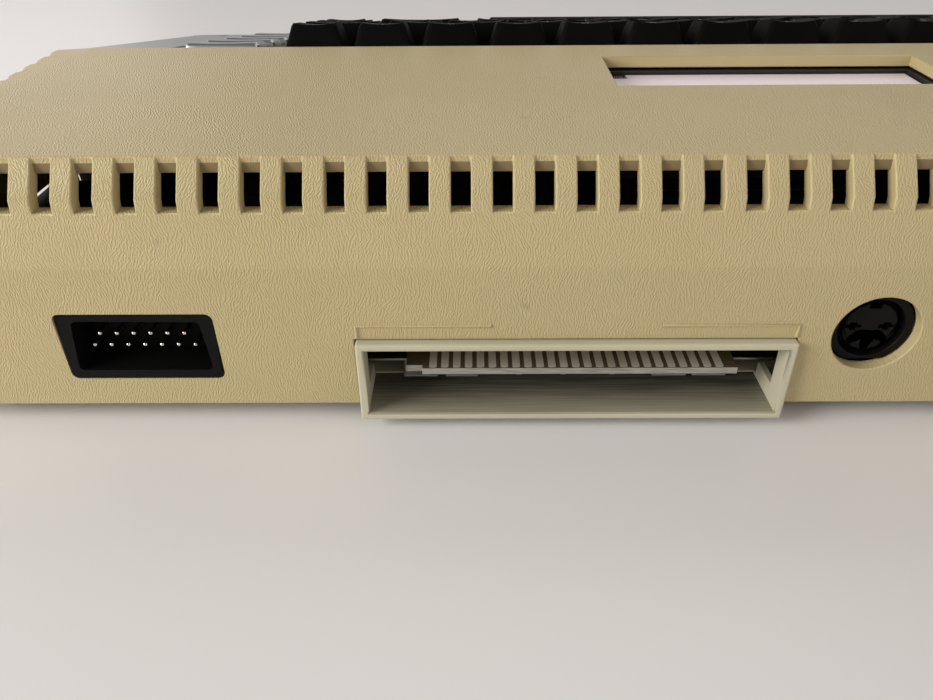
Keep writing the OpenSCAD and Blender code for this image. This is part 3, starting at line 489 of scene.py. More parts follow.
def grown(tree, seeds, values):
    """The plain mesh that a geometry tree makes from seed points, and from edges between them."""
    mesh = bpy.data.meshes.new("seeds")
    mesh.from_pydata(seeds[0], seeds[1], [])
    obj = piece_from(mesh, "seeds")
    growth = obj.modifiers.new("growth", "NODES")
    growth.node_group = tree
    for item in tree.interface.items_tree:
        if item.in_out == "INPUT" and item.name in values:
            growth[item.identifier] = values[item.name]
    depsgraph = bpy.context.evaluated_depsgraph_get()
    result = bpy.data.meshes.new_from_object(obj.evaluated_get(depsgraph), depsgraph=depsgraph)
    obj.modifiers.remove(growth)
    bpy.data.objects.remove(obj)
    smooth_shaded(result, 40)
    return result


def bead_tree(material):
    """A round bead that follows the edges between its seed points."""
    tree, start, end = geometry_tree("raised_bead", lengths(Radius=0.3))
    path = tree.nodes.new("GeometryNodeMeshToCurve")
    tube = round_tube(tree, 10, start.outputs["Radius"])
    finished(tree, end, chain(tree, start.outputs[0], path, tube), material)
    return tree


shell_mesh = nodes["top_shell"].data
wall = BVHTree.FromPolygons(
    [v.co[:] for v in shell_mesh.vertices], [p.vertices[:] for p in shell_mesh.polygons]
)


def seen_from_behind(x, z):
    """The first point of the top shell that a ray from behind meets at that place."""
    return wall.ray_cast(Vector((x, FAR_BEHIND, z)), Vector((0, -1, 0)))[0]


LINE_SINK = 0.06 * MM
line_points = []
for x, z in ((90, 22.9), (90, 25.7), (62.8, 25.7), (28.7, 25.7), (1, 25.7), (1, 22.9)):
    hit = seen_from_behind(x * MM, z * MM)
    line_points.append((hit.x, hit.y - LINE_SINK, hit.z))
line_edges = [(0, 1), (1, 2), (3, 4), (4, 5)]
wall_lines = piece_from(
    grown(bead_tree(shell_cream), (line_points, line_edges), {"Radius": 0.42 * MM}), "raised_wall_lines"
)
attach(wall_lines, "case")


# ---------- lip behind the rear slots ----------
# The deck's edge is doubled by a lip on its inside, which closes the top of each slot.
# Rays through a stretch with some slots and some fins find that edge, which is the farthest in.
edge_hits = [seen_from_behind(x / 2 * MM, SLOT_TOP - 1.1 * MM) for x in range(-30, 31)]
deck_edge_y = min(hit.y for hit in edge_hits)
lip_low, lip_high = SLOT_TOP - 3.3 * MM, SLOT_TOP - 0.8 * MM
lip_rear, lip_thick, lip_half = deck_edge_y + 0.05 * MM, 1.2 * MM, 166 * MM
lip_mesh = bpy.data.meshes.new("slot_lip")
lip_mesh.from_pydata(
    [
        (x, y, z)
        for x in (-lip_half, lip_half) for y in (lip_rear - lip_thick, lip_rear) for z in (lip_low, lip_high)
    ],
    [],
    [(0, 1, 3, 2), (4, 6, 7, 5), (0, 4, 5, 1), (2, 3, 7, 6), (0, 2, 6, 4), (1, 5, 7, 3)],
)
lip_mesh.materials.append(shell_cream)
slot_lip = piece_from(lip_mesh, "slot_lip")
lip_edges = slot_lip.modifiers.new("edges", "BEVEL")
lip_edges.width = 0.3 * MM
lip_edges.segments = 3
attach(slot_lip, "case")


# ---------- bottom shell ----------
# The tray that the case closes on, with the plain smooth shroud round the expansion edge. It is
# the same plastic without the grain, and greyer.
def moulded(name, colour, darker, roughness=0.5, speckle=0.00001, dust=0.10, specular=0.5):
    """Plain moulded plastic with a fine spark texture and a little uneven tone."""
    material, tree, shader = new_material(name)
    tone = use_group(tree, mottle, Patches_per_metre=22.0)
    base = mixed_colour(tree, tone.outputs["Patches"], colour, darker)
    settled = [min(1.0, c * 0.6 + 0.05) for c in colour]
    marked = mixed_colour(tree, times(tree, tone.outputs["Dust"], dust), base, settled)
    shader.inputs["Specular IOR Level"].default_value = specular
    dusty = map_range(tree, tone.outputs["Dust"], 0.0, 1.0, roughness, roughness + 0.12)
    surface(tree, shader, marked, dusty, bump(tree, noise(tree, object_place(tree), 5200.0), speckle))
    return material


# Where the shroud's floor lies, and where the shade painted on it is darkest and lightest.
SHROUD_FLOOR_Z = 5 * MM
FLOOR_SHADE_DARKEST_Y = 98 * MM
FLOOR_SHADE_LIGHTEST_Y = 114 * MM


def shade_shroud_floor(material):
    """Paints shade on the shroud's floor: darkest deep inside, in fine lines along it."""
    tree, shader = material.node_tree, material.node_tree.nodes["Principled BSDF"]
    place = object_place(tree)
    at, normal = separated(tree, place), face_normal(tree)
    low = math_node(tree, "LESS_THAN", at["Z"], SHROUD_FLOOR_Z)
    floor_face = times(tree, low, above(tree, normal["Z"], 0.5))
    deep = rest_of(tree, map_range(tree, at["Y"], FLOOR_SHADE_DARKEST_Y, FLOOR_SHADE_LIGHTEST_Y, 0.0, 0.75))
    lines = map_range(tree, noise(tree, place, 1.0, 3.0, stretch=(50, 2600, 50)), 0.3, 0.7, 0.8, 1.0)
    amount = times(tree, times(tree, deep, lines), floor_face, clamp=True)
    # the base colour is mixed towards a near-black painted shade
    unshaded = shader.inputs["Base Color"].links[0].from_socket
    tree.links.new(mixed_colour(tree, amount, unshaded, (0.050, 0.045, 0.032)), shader.inputs["Base Color"])


def away_from_shroud(point):
    """True for the tray's own hidden edges: its screw and foot recesses, ribs and posts."""
    return point.z < 6 * MM and abs(point.y) <= 100 * MM


shell_grey = moulded("grey_cream_moulding", (0.54, 0.50, 0.37), (0.50, 0.46, 0.33), roughness=0.45)
# the shroud's floor gets painted shade
shade_shroud_floor(shell_grey)
rounded(
    "bottom_shell", "bottom_shell_moulding", 0.5 * MM, shell_grey,
    stays_sharp=away_from_shroud,
)


# ---------- feet and screws ----------
# Black rubber discs glued into round recesses, and zinc-plated screws that hold the case and
# the board.
foot_rubber = moulded(
    "foot_rubber", (0.022, 0.021, 0.020), (0.03, 0.029, 0.028), roughness=0.75, speckle=0.00003
)
rounded("feet", "rubber_feet", 0.8 * MM, foot_rubber)


def metal(name, colour, roughness, lines, depth=0.000004, wear=0.12, tarnish=None, metallic=1.0):
    """Bare or plated metal with its brushing or rolling lines, longest where a line's scale is least."""
    material, tree, shader = new_material(name)
    place = object_place(tree)
    streaks = noise(tree, place, 1.0, 3.0, stretch=lines)
    blotches = map_range(tree, noise(tree, place, 60.0, 4.0), 0.4, 0.75)
    dull = tarnish or [c * 0.7 for c in colour]
    lined = map_range(tree, streaks, 0.3, 0.7, 0.0, 0.22)
    shaded = mixed_colour(tree, lined, colour, [c * 0.72 for c in colour])
    worn = mixed_colour(tree, times(tree, blotches, wear), shaded, dull)
    shader.inputs["Metallic"].default_value = metallic
    uneven = map_range(tree, streaks, 0.2, 0.8, roughness - 0.06, roughness + 0.08)
    surface(tree, shader, worn, uneven, bump(tree, streaks, depth))
    return material


steel = metal("zinc_plated_steel", (0.38, 0.38, 0.37), 0.38, (900, 900, 900))
rounded("screws", "case_and_board_screws", 0.2 * MM, steel)


# ---------- main board and what is soldered to it ----------
# A laminate board with a green lacquer, bare and brown at the card edge, where its cut side
# shows the glass fibres. Chips, capacitors and the modulator's can stand on it.
BARE_EDGE_Y = 94.5 * MM


def laminate():
    """Lacquered circuit board, with tracks under the lacquer, and its bare fibrous cut edge."""
    material, tree, shader = new_material("circuit_board")
    place = object_place(tree)
    at, normal = separated(tree, place), face_normal(tree, "True Normal")
    tracks = new_node(tree, "ShaderNodeTexBrick", Vector=place, Scale=60.0, Mortar_Size=0.03)
    lacquer = mixed_colour(tree, tracks.outputs["Fac"], (0.010, 0.034, 0.014), (0.024, 0.062, 0.025))
    bare = above(tree, at["Y"], BARE_EDGE_Y)
    fibres = noise(tree, place, 1.0, 3.0, stretch=(260, 2600, 5200))
    brown = mixed_colour(tree, fibres, (0.055, 0.038, 0.020), (0.095, 0.070, 0.040))
    face = mixed_colour(tree, bare, lacquer, brown)
    cut = mixed_colour(tree, fibres, (0.03, 0.027, 0.02), (0.55, 0.53, 0.46))
    on_face = above(tree, size_of(tree, normal["Z"]), 0.6)
    roughness = map_range(tree, on_face, 0.0, 1.0, 0.8, 0.42)
    surface(tree, shader, mixed_colour(tree, on_face, cut, face), roughness, bump(tree, fibres, 0.00003))
    return material


def dressed(node, material):
    """The solid itself shows, with its own finish."""
    for slot in nodes[node].material_slots:
        slot.material = material


def islands(node, into=Matrix.Identity(4)):
    """The boxes of a node's separate solids, from left to right, in the frame of that matrix."""
    bm = bmesh.new()
    bm.from_mesh(nodes[node].data)
    bmesh.ops.remove_doubles(bm, verts=bm.verts, dist=WELD)
    seen, boxes = set(), []
    for first in bm.verts:
        if first in seen:
            continue
        seen.add(first)
        waiting, points = [first], []
        while waiting:
            vertex = waiting.pop()
            points.append(into @ vertex.co)
            for edge in vertex.link_edges:
                other = edge.other_vert(vertex)
                if other not in seen:
                    seen.add(other)
                    waiting.append(other)
        low = Vector([min(p[i] for p in points) for i in range(3)])
        boxes.append((low, Vector([max(p[i] for p in points) for i in range(3)])))
    bm.free()
    return sorted(boxes, key=lambda box: (box[0] + box[1]).x)


rounded("main_board", "circuit_board", 0.12 * MM, laminate(), segments=2)


def finger_tree(material):
    """A plated finger on each seed point: a thin long pad with rounded ends."""
    tree, start, end = geometry_tree("contact_fingers", lengths(Width=1.6, Length=8.7, Thickness=0.1))
    width, length, thickness = (start.outputs[name] for name in ("Width", "Length", "Thickness"))
    outline = new_node(tree, "GeometryNodeCurvePrimitiveQuadrilateral", Width=width, Height=length)
    corners = tree.nodes.new("GeometryNodeFilletCurve")
    corners.mode = "POLY"
    corners.inputs["Radius"].default_value = 0.35 * MM
    corners.inputs["Count"].default_value = 3
    sheet = tree.nodes.new("GeometryNodeFillCurve")
    sheet.mode = "NGONS"
    thick = new_node(tree, "GeometryNodeExtrudeMesh", Individual=False, Offset_Scale=thickness)
    finger = chain(tree, outline.outputs[0], corners, sheet, thick)
    under = tree.nodes.new("GeometryNodeJoinGeometry")
    tree.links.new(finger, under.inputs[0])
    flip = tree.nodes.new("GeometryNodeFlipFaces")
    tree.links.new(chain(tree, next(s for s in sheet.outputs if s.type == "GEOMETRY"), flip), under.inputs[0])
    finished(tree, end, on_points(tree, start, under.outputs[0]).outputs[0], material)
    return tree


contact_tin = metal(
    "dull_tin_plate", (0.62, 0.58, 0.48), 0.42, (3000, 160, 3000),
    wear=0.4, tarnish=(0.30, 0.24, 0.15), metallic=0.3,
)
finger_boxes = islands("expansion_contacts")
finger_seeds = [((low.x + high.x) / 2, (low.y + high.y) / 2, low.z) for low, high in finger_boxes]
finger = finger_boxes[0][1] - finger_boxes[0][0]
finger_size = {"Width": finger.x, "Length": finger.y, "Thickness": finger.z}
fingers = grown(finger_tree(contact_tin), (finger_seeds, []), finger_size)
fitted(piece_from(fingers, "expansion_fingers"), "expansion_contacts")

# the chips' legs are the low faces along their long sides
LEG_REACH = 0.75 * MM
LEG_HEIGHT = 2.3 * MM
chip_black = moulded(
    "chip_resin", (0.028, 0.028, 0.030), (0.022, 0.022, 0.024), roughness=0.6, speckle=0.00002
)
tin_plate = metal(
    "tinned_sheet", (0.58, 0.57, 0.54), 0.36, (40, 420, 420), wear=0.35, tarnish=(0.36, 0.33, 0.27)
)
nickel = metal("bright_nickel", (0.68, 0.66, 0.62), 0.16, (500, 500, 500), depth=0.000002)
chips = rounded("chips", "chips_on_board", 0.25 * MM, chip_black, segments=2)
chips.data.materials.append(nickel)
chip_boxes = islands("chips")
for polygon in chips.data.polygons:
    at = polygon.center
    for low, high in chip_boxes:
        beside = abs(at.y - (low.y + high.y) / 2) > (high.y - low.y) / 2 - LEG_REACH
        if low.x < at.x < high.x and beside and at.z < low.z + LEG_HEIGHT:
            polygon.material_index = 1


def sleeved_can():
    """Blue shrink sleeve round a capacitor, with the bare aluminium of its top."""
    material, tree, shader = new_material("capacitor_sleeve")
    top = above(tree, face_normal(tree, "True Normal")["Z"], 0.9)
    tone = use_group(tree, mottle, Patches_per_metre=120.0)
    sleeve = mixed_colour(tree, tone.outputs["Patches"], (0.014, 0.030, 0.095), (0.020, 0.040, 0.125))
    tree.links.new(top, shader.inputs["Metallic"])
    colour = mixed_colour(tree, top, sleeve, (0.62, 0.62, 0.61))
    roughness = map_range(tree, top, 0.0, 1.0, 0.28, 0.36)
    surface(tree, shader, colour, roughness, bump(tree, noise(tree, object_place(tree), 900.0), 0.00001))
    return material


rounded("capacitors", "capacitors", 0.6 * MM, sleeved_can())
rounded("radio_modulator", "modulator_can", 0.3 * MM, tin_plate, segments=2)
rounded("tv_jack", "aerial_jack", 0.2 * MM, nickel, segments=2)


# ---------- shields ----------
# Two tinned sheets enclose the board against radio noise. Their bent tabs show through the
# expansion opening.
rounded("upper_shield", "upper_shield_sheet", 0.15 * MM, tin_plate, segments=2)
rounded("lower_shield", "lower_shield_sheet", 0.15 * MM, tin_plate, segments=2)


# ---------- sockets and switches in the rear wall and the side ----------
# Black sockets moulded in glass-filled nylon stand in openings of the shell. Their pins are
# nickel-plated and round-ended.
black_plastic = moulded(
    "black_nylon", (0.0036, 0.0036, 0.0036), (0.0050, 0.0050, 0.0049),
    roughness=0.45, dust=0.04, specular=0.11,
)
for node, name, radius in (
    ("peripheral_socket", "thirteen_pin_socket", 0.3),
    ("monitor_socket", "round_monitor_socket", 0.22),
    ("power_inlet", "round_power_inlet", 0.22),
    ("controller_sockets", "controller_sockets", 0.25),
    ("channel_switch", "channel_switch_body", 0.3),
    ("power_switch", "power_switch_body", 0.4),
    ("power_rocker", "power_rocker", 0.45),
):
    rounded(node, name, radius * MM, black_plastic)
white_plastic = moulded("white_nylon", (0.66, 0.66, 0.61), (0.60, 0.60, 0.54), roughness=0.42)
rounded("channel_slider", "channel_slider_knob", 0.35 * MM, white_plastic)


def pin_tree(material):
    """A round pin on each seed point, along X, with a domed tip at its far end."""
    turn = ("Turn", "NodeSocketRotation", None)
    tree, start, end = geometry_tree("round_pins", [*lengths(Radius=0.5, Length=7), turn])
    axis = tree.nodes.new("GeometryNodeCurvePrimitiveLine")
    axis.mode = "DIRECTION"
    axis.inputs["Direction"].default_value = (1, 0, 0)
    tree.links.new(start.outputs["Length"], axis.inputs["Length"])
    fine = new_node(tree, "GeometryNodeResampleCurve", Count=60)
    # the pin narrows over its last stretch, as a rounded tip does
    along = tree.nodes.new("GeometryNodeSplineParameter")
    left = math_node(tree, "SUBTRACT", start.outputs["Length"], along.outputs["Length"])
    short = math_node(tree, "DIVIDE", left, start.outputs["Radius"], clamp=True)
    back = rest_of(tree, short)
    across = math_node(tree, "SQRT", rest_of(tree, times(tree, back, back)))
    width = times(tree, math_node(tree, "MAXIMUM", across, 0.15), start.outputs["Radius"])
    thin = new_node(tree, "GeometryNodeSetCurveRadius", Radius=width)
    tube = round_tube(tree, 14, 1.0)
    tree.links.new(width, tube.inputs["Scale"])
    points = on_points(tree, start, chain(tree, axis.outputs[0], fine, thin, tube))
    tree.links.new(start.outputs["Turn"], points.inputs["Rotation"])
    finished(tree, end, points.outputs[0], material)
    return tree


PIN_RADIUS = 0.5 * MM
LEAST_PIN = 3 * MM
pin_growth = pin_tree(nickel)
pin_boxes = islands("connector_pins")
rear_pins = [box for box in pin_boxes if box[1].y - box[0].y > LEAST_PIN]
side_pins = [box for box in pin_boxes if box[1].x - box[0].x > LEAST_PIN]
rear_seeds = [((low.x + high.x) / 2, low.y, (low.z + high.z) / 2) for low, high in rear_pins]
side_seeds = [(low.x, (low.y + high.y) / 2, (low.z + high.z) / 2) for low, high in side_pins]
pins = bmesh.new()
for seeds, turn_z, span in (
    (rear_seeds, math.pi / 2, rear_pins[0][1].y - rear_pins[0][0].y),
    (side_seeds, 0.0, side_pins[0][1].x - side_pins[0][0].x),
):
    values = {"Radius": PIN_RADIUS, "Length": span, "Turn": (0, 0, turn_z)}
    pins.from_mesh(grown(pin_growth, (seeds, []), values))
pin_mesh = bpy.data.meshes.new("connector_pins")
pins.to_mesh(pin_mesh)
pins.free()
pin_mesh.materials.append(nickel)
fitted(piece_from(pin_mesh, "connector_pin_set"), "connector_pins")


# ---------- cartridge bay ----------
# Two sprung doors of brushed aluminium close the recess in the deck. They turn on steel pins
# in a dark guide, which stands over the cartridge connector on the board.
door_metal = metal(
    "brushed_door_aluminium", (1.0, 0.88, 0.94), 0.38, (30, 2600, 2600),
    depth=0.000006, wear=0.05, metallic=0.05,
)
rounded("door_front", "front_cartridge_door", 0.22 * MM, door_metal)
rounded("door_rear", "rear_cartridge_door", 0.22 * MM, door_metal)
dressed("door_pins", steel)
guide_black = moulded("guide_plastic", (0.018, 0.016, 0.014), (0.024, 0.021, 0.018), roughness=0.55)
rounded("cartridge_guide", "cartridge_guide", 0.3 * MM, guide_black)
connector_green = moulded("connector_moulding", (0.016, 0.036, 0.032), (0.022, 0.044, 0.038), roughness=0.45)
rounded("cartridge_socket", "cartridge_connector", 0.3 * MM, connector_green)


def coil_tree(material):
    """A wire wound round the X axis at each seed point."""
    tree, start, end = geometry_tree("door_spring", lengths(Coil_radius=1.0, Wire_radius=0.2, Length=4))
    winding = new_node(
        tree, "GeometryNodeCurveSpiral", Resolution=24, Rotations=7.0, Height=start.outputs["Length"],
        Start_Radius=start.outputs["Coil radius"], End_Radius=start.outputs["Coil radius"],
    )
    wire = round_tube(tree, 8, start.outputs["Wire radius"])
    lie = new_node(tree, "GeometryNodeTransform", Rotation=(0, math.pi / 2, 0))
    spring = chain(tree, winding.outputs[0], wire, lie)
    finished(tree, end, on_points(tree, start, spring).outputs[0], material)
    return tree


wire_boxes = islands("door_springs")
spring_low = min(low.x for low, high in wire_boxes)
spring_high = max(high.x for low, high in wire_boxes)
spring_axes = sorted(
    {(round((low.y + high.y) / 2, 6), round((low.z + high.z) / 2, 6)) for low, high in wire_boxes}
)
wire_radius = (wire_boxes[0][1].x - wire_boxes[0][0].x) / 2
coil_radius = (wire_boxes[0][1].z - wire_boxes[0][0].z) / 2 - wire_radius
spring_span = spring_high - spring_low - 2 * wire_radius
springs = grown(
    coil_tree(steel),
    ([(spring_low + wire_radius, y, z) for y, z in spring_axes], []),
    {"Coil radius": coil_radius, "Wire radius": wire_radius, "Length": spring_span},
)
fitted(piece_from(springs, "door_coil_springs"), "door_springs")


# ---------- keyboard unit ----------
# A steel plate carries the keys. Under it lie a sheet of rubber domes, the printed contact
# sheets and a steel back, and a flat cable leads from them to the board.
plate_steel = metal("rolled_plate_steel", (0.50, 0.50, 0.49), 0.40, (60, 700, 700))
dome_rubber = moulded("dome_rubber", (0.085, 0.095, 0.105), (0.07, 0.08, 0.09), roughness=0.7)
contact_film = moulded(
    "printed_film", (0.48, 0.31, 0.10), (0.42, 0.27, 0.09), roughness=0.2, speckle=0.000002
)


def flat_cable():
    """Grey flat cable, with a ridge over each of its wires."""
    material, tree, shader = new_material("flat_cable")
    wires = new_node(tree, "ShaderNodeTexWave", Vector=object_place(tree), Scale=250.0).outputs["Fac"]
    tone = mixed_colour(tree, wires, (0.36, 0.35, 0.31), (0.50, 0.48, 0.42))
    surface(tree, shader, tone, map_range(tree, wires, 0.0, 1.0, 0.6, 0.45), bump(tree, wires, 0.0002))
    return material


for node, finish in (
    ("keyboard_plate", plate_steel),
    ("dome_sheet", dome_rubber),
    ("contact_sheet", contact_film),
    ("keyboard_back", plate_steel),
    ("ribbon_cable", flat_cable()),
):
    dressed(node, finish)


# ---------- surround, strip and lamp ----------
# A dark brown satin frame fills the case round the keys. A brushed aluminium strip is let into
# it beside the console keys, with the red lens of the power lamp.
surround_brown = moulded(
    "brown_satin_moulding", (0.040, 0.034, 0.028), (0.050, 0.043, 0.036), roughness=0.52, specular=0.10
)
rounded("keyboard_surround", "keyboard_surround_frame", 0.35 * MM, surround_brown)
strip_metal = metal("brushed_strip_aluminium", (0.35, 0.36, 0.355), 0.34, (3200, 24, 24), depth=0.000006)
rounded("metal_strip", "brushed_strip", 0.12 * MM, strip_metal, segments=2)
lens_red = moulded(
    "red_lens", (0.42, 0.012, 0.008), (0.30, 0.008, 0.006), roughness=0.08, speckle=0.000001, dust=0.03
)
lens_red.node_tree.nodes["Principled BSDF"].inputs["Coat Weight"].default_value = 0.6

# the lens is ground down flush with the strip
LENS_TOP = 2.5 * MM
lens = nodes["power_lamp"].data.copy()
for vertex in lens.vertices:
    place = into_keyboard @ vertex.co
    place.z = min(place.z, LENS_TOP)
    vertex.co = keyboard @ place
lens.materials.clear()
lens.materials.append(lens_red)
fitted(piece_from(lens, "flush_lens"), "power_lamp")


# ---------- keys ----------
# Near-black caps in double-shot plastic, hollow and tapered, with a shallow trough across the
# top of each. Their characters are pale and moulded through.
KEY_WALL = 1.4 * MM
KEY_STEM = 2.7 * MM
# The sides lean in this far from the skirt to the top.
KEY_INSET = 2.9 * MM
# The skirt hangs this far under the keys' plane and has a small chamfer at its foot.
SKIRT = 1.8 * MM
SKIRT_CHAMFER = 0.12 * MM
# Radii of a cap's corners: inside it, down its sides and at its top, and of its upper edge.
INNER_CORNER = 0.3 * MM
SIDE_CORNER = 0.9 * MM
TOP_CORNER = 1.5 * MM
TOP_EDGE = 0.7 * MM
STEM_SIDES = 18
# Characters: their sizes, the longest edge that still follows the trough, and their lift.
LETTER_SIZE = 4.6 * MM
WORD_SIZE = 2.3 * MM
LONGEST_STROKE = 0.7 * MM
CHARACTER_LIFT = 0.03 * MM


def rounded_outline(width, depth, radius, shift, across):
    """Points round a rectangle with rounded corners, with more of them along its long sides."""
    points = []
    half_w, half_d = width / 2 - radius, depth / 2 - radius
    corners = ((1, 1, 0), (-1, 1, 90), (-1, -1, 180), (1, -1, 270))
    for index, (sx, sy, first) in enumerate(corners):
        for step in range(5):
            angle = math.radians(first + 22.5 * step)
            x, y = radius * math.cos(angle), radius * math.sin(angle)
            points.append((sx * half_w + x, shift + sy * half_d + y))
        nx, ny, _ = corners[(index + 1) % 4]
        count, out_x, out_y = (across, 0, radius) if sy == ny else (4, radius, 0)
        a = (sx * (half_w + out_x), shift + sy * (half_d + out_y))
        b = (nx * (half_w + out_x), shift + ny * (half_d + out_y))
        for i in range(1, count):
            points.append((a[0] + (b[0] - a[0]) * i / count, a[1] + (b[1] - a[1]) * i / count))
    return points


def cap_top(x, y, size, trough, crown):
    """How far the cap's top lies under its rim at a place: a trough across, a crown along."""
    half_w, half_d = size
    return trough * (1 - min(1.0, abs(x / half_w)) ** 2) + crown * min(1.0, abs(y / half_d)) ** 2


def add_cap(bm, box, inset, trough, crown):
    """One hollow cap with its stem, built into the box of its solid, in the keyboard's frame."""
    low, high = box
    middle = (low + high) / 2
    width, depth, height = high.x - low.x, high.y - low.y, high.z
    across = max(6, round(width / (3.2 * MM)))
    size = (width / 2 - inset, depth / 2 - inset)
    slope = math.atan2(inset, height)
    # each ring is (height, distance in from the skirt, corner radius, share of the trough)
    profile = [
        (-SKIRT, KEY_WALL, INNER_CORNER, 0),
        (-SKIRT, SKIRT_CHAMFER, SIDE_CORNER, 0),
        (SKIRT_CHAMFER - SKIRT, 0, SIDE_CORNER, 0),
        (0, 0, SIDE_CORNER, 0),
    ]
    side_top = height - TOP_EDGE
    side_in = inset * side_top / height
    for step in range(4):
        angle = slope + (math.pi / 2 - slope) * step / 3
        reach = TOP_EDGE * (math.sin(angle) - math.sin(slope))
        rise = TOP_EDGE * math.sin(angle - slope) / math.cos(slope)
        profile.append((min(height, side_top + rise), side_in + reach * 0.9, TOP_CORNER, step / 3))
    rim = profile[-1][1]
    for share in (0.12, 0.3, 0.55, 0.8, 0.97):
        into = rim + share * (depth / 2 - rim - 0.1 * MM)
        profile.append((height, into, TOP_CORNER * (1 - share), 1))
    rings = []
    for z, into, radius, dished in profile:
        radius = max(0.05 * MM, min(radius, depth / 2 - into - 0.02 * MM))
        shift = inset / 2 * max(0.0, min(1.0, z / height))
        ring = []
        for x, y in rounded_outline(width - 2 * into, depth - 2 * into, radius, shift, across):
            drop = dished * cap_top(x, y - shift, size, trough, crown)
            ring.append(bm.verts.new(keyboard @ Vector((middle.x + x, middle.y + y, z - drop))))
        rings.append(ring)
    # the underside: the skirt's inner wall, up to the ceiling
    ceiling = height - KEY_WALL
    inside = [(0, KEY_WALL), (ceiling, KEY_WALL + inset * ceiling / height)]
    inner = [rings[0]]
    for z, into in inside:
        shift = inset / 2 * z / height
        outline = rounded_outline(width - 2 * into, depth - 2 * into, INNER_CORNER, shift, across)
        inner.append([bm.verts.new(keyboard @ Vector((middle.x + x, middle.y + y, z))) for x, y in outline])
    for lower, upper in list(zip(rings, rings[1:])) + list(zip(inner[1:], inner)):
        count = len(lower)
        for i in range(count):
            bm.faces.new((lower[i], lower[(i + 1) % count], upper[(i + 1) % count], upper[i]))
    bm.faces.new(rings[-1])
    bm.faces.new(inner[-1][::-1])
    stem = [[], []]
    for ring, z in zip(stem, (low.z, ceiling)):
        for i in range(STEM_SIDES):
            around = math.radians(360 / STEM_SIDES * i)
            x, y = middle.x + KEY_STEM * math.cos(around), middle.y + KEY_STEM * math.sin(around)
            ring.append(bm.verts.new(keyboard @ Vector((x, y, z))))
    for i in range(STEM_SIDES):
        after = (i + 1) % STEM_SIDES
        bm.faces.new((stem[0][i], stem[0][after], stem[1][after], stem[1][i]))
    bm.faces.new(stem[0][::-1])
    bm.faces.new(stem[1])


def add_characters(bm, word, box, trough, crown):
    """A flat letter, or a small word, laid on a cap's dished top, a hair above it."""
    low, high = box
    half = ((high.x - low.x) / 2 - KEY_INSET, (high.y - low.y) / 2 - KEY_INSET)
    middle = (low + high) / 2 + Vector((0, KEY_INSET / 2, 0))
    data = bpy.data.curves.new("characters", "FONT")
    data.body = word
    data.size = LETTER_SIZE if len(word) == 1 else WORD_SIZE
    data.align_x = "CENTER"
    data.align_y = "CENTER"
    data.resolution_u = 4
    writer = piece_from(data, "characters")
    depsgraph = bpy.context.evaluated_depsgraph_get()
    flat = bpy.data.meshes.new_from_object(writer.evaluated_get(depsgraph), depsgraph=depsgraph)
    bpy.data.objects.remove(writer)
    sheet = bmesh.new()
    sheet.from_mesh(flat)
    bmesh.ops.triangulate(sheet, faces=sheet.faces)
    for _ in range(3):
        long_edges = [e for e in sheet.edges if e.calc_length() > LONGEST_STROKE]
        if long_edges:
            bmesh.ops.subdivide_edges(sheet, edges=long_edges, cuts=1)
            bmesh.ops.triangulate(sheet, faces=sheet.faces)
    for vertex in sheet.verts:
        x, y = vertex.co.x, vertex.co.y
        z = high.z - cap_top(x, y, half, trough, crown) + CHARACTER_LIFT
        vertex.co = keyboard @ Vector((middle.x + x, middle.y + y, z))
    sheet.to_mesh(flat)
    sheet.free()
    bm.from_mesh(flat)


def mesh_piece(bm, name, material):
    """An object from a bmesh, smooth but for its sharp edges."""
    mesh = bpy.data.meshes.new(name)
    bm.normal_update()
    bm.to_mesh(mesh)
    bm.free()
    smooth_shaded(mesh, 35)
    mesh.materials.append(material)
    return piece_from(mesh, name)


key_black = moulded(
    "key_plastic", (0.0030, 0.0030, 0.0024), (0.0046, 0.0045, 0.0038),
    roughness=0.60, dust=0.02, specular=0.03,
)
character_white = moulded("character_plastic", (0.60, 0.58, 0.52), (0.55, 0.53, 0.47))
number_words = ["ESC", *"1234567890<>", "DELETE", "BREAK"]
row_words = {
    "upper_letter_keys": ["TAB", *"QWERTYUIOP-="],
    "middle_letter_keys": ["CTRL", *"ASDFGHJKL;+*", "CAPS"],
    "lower_letter_keys": ["SHIFT", *"ZXCVBNM,./", "SHIFT", ""],
    "return_key": ["RETURN"],
    "space_bar": [""],
}
row_words.update({f"number_key_{i + 1:02d}": [word] for i, word in enumerate(number_words)})
for node, words in row_words.items():
    caps, characters = bmesh.new(), bmesh.new()
    trough, crown = (0.0, 0.5 * MM) if node == "space_bar" else (0.55 * MM, 0.0)
    for box, word in zip(islands(node, into_keyboard), words):
        add_cap(caps, box, KEY_INSET, trough, crown)
        if word:
            add_characters(characters, word, box, trough, crown)
    fitted(mesh_piece(caps, node + "_caps", key_black), node)
    if len(characters.verts):
        marks = mesh_piece(characters, node + "_characters", character_white)
        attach(marks, nodes[node]["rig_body"])
    else:
        characters.free()


# ---------- console keys ----------
# Five low caps of satin aluminium colour stand in a column beside the letter keys.
console_silver = metal("console_key_aluminium", (0.42, 0.42, 0.425), 0.36, (30, 2400, 2400))
for index in range(1, 6):
    node = f"console_key_{index}"
    caps = bmesh.new()
    add_cap(caps, islands(node, into_keyboard)[0], inset=0.5 * MM, trough=0.25 * MM, crown=0.0)
    fitted(mesh_piece(caps, node + "_cap", console_silver), node)


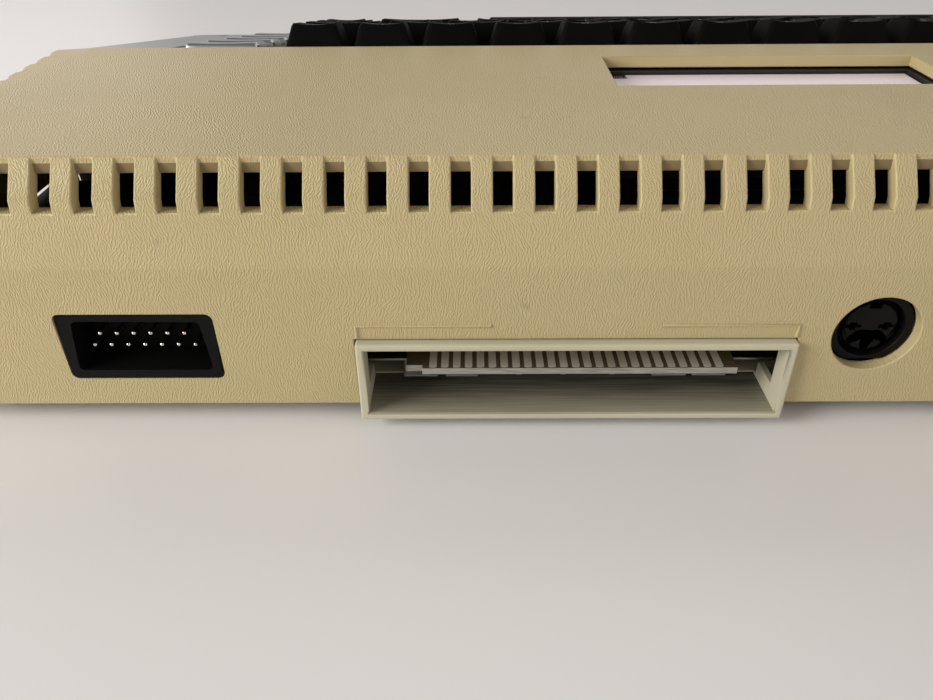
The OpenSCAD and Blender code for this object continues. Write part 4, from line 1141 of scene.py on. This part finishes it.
# ---------- floor ----------
# A plain pale table, which reaches this far to each side of the machine.
TABLE = 3.0
floor_mesh = bpy.data.meshes.new("floor")
floor_mesh.from_pydata(
    [(-TABLE, -TABLE, 0), (TABLE, -TABLE, 0), (TABLE, TABLE, 0), (-TABLE, TABLE, 0)], [], [(0, 1, 2, 3)]
)
floor = piece_from(floor_mesh, "floor")
floor_material, _, floor_shader = new_material("pale_table")
floor_shader.inputs["Base Color"].default_value = (0.80, 0.785, 0.78, 1)
floor_shader.inputs["Roughness"].default_value = 0.38
floor_mesh.materials.append(floor_material)


# ---------- light ----------
# A soft key lamp stands behind the machine on the camera's left, weaker ones stand round it,
# and the room itself is pale.
world = bpy.data.worlds.new("studio")
bpy.context.scene.world = world
world.use_nodes = True
sky = world.node_tree
sky.nodes["Background"].inputs["Color"].default_value = (0.83, 0.82, 0.81, 1)
# the room is brightest low down, where its walls and windows are
towards = separated(sky, sky.nodes.new("ShaderNodeTexCoord").outputs["Generated"])
strength = map_range(sky, towards["Z"], 0.1, 0.9, 0.55, 0.25)
sky.links.new(strength, sky.nodes["Background"].inputs["Strength"])


def area_lamp(name, place, target, size, power, colour):
    """A soft rectangular lamp that points at a target."""
    data = bpy.data.lights.new(name, "AREA")
    data.shape = "RECTANGLE"
    data.size, data.size_y = size
    data.energy = power
    data.color = colour
    lamp = bpy.data.objects.new(name, data)
    bpy.context.scene.collection.objects.link(lamp)
    lamp.location = place
    lamp.rotation_euler = (Vector(target) - Vector(place)).to_track_quat("-Z", "Y").to_euler()


area_lamp("window", (0.95, 0.52, 0.46), (0.05, 0.08, 0.03), (0.5, 0.5), 11, (1.0, 0.99, 0.96))
area_lamp("far_window", (-0.2, -1.5, 1.5), (0.0, 0.05, 0.05), (1.6, 1.2), 9.5, (1.0, 0.93, 0.87))
area_lamp("left_far_window", (0.85, -1.0, 0.42), (0.15, 0.05, 0.05), (0.6, 0.5), 1.3, (1.0, 0.90, 0.90))
area_lamp("right_window", (-0.95, 0.75, 0.65), (-0.05, 0.1, 0.03), (0.9, 0.8), 3.4, (1.0, 0.90, 0.86))

bpy.context.scene.view_settings.view_transform = "Standard"
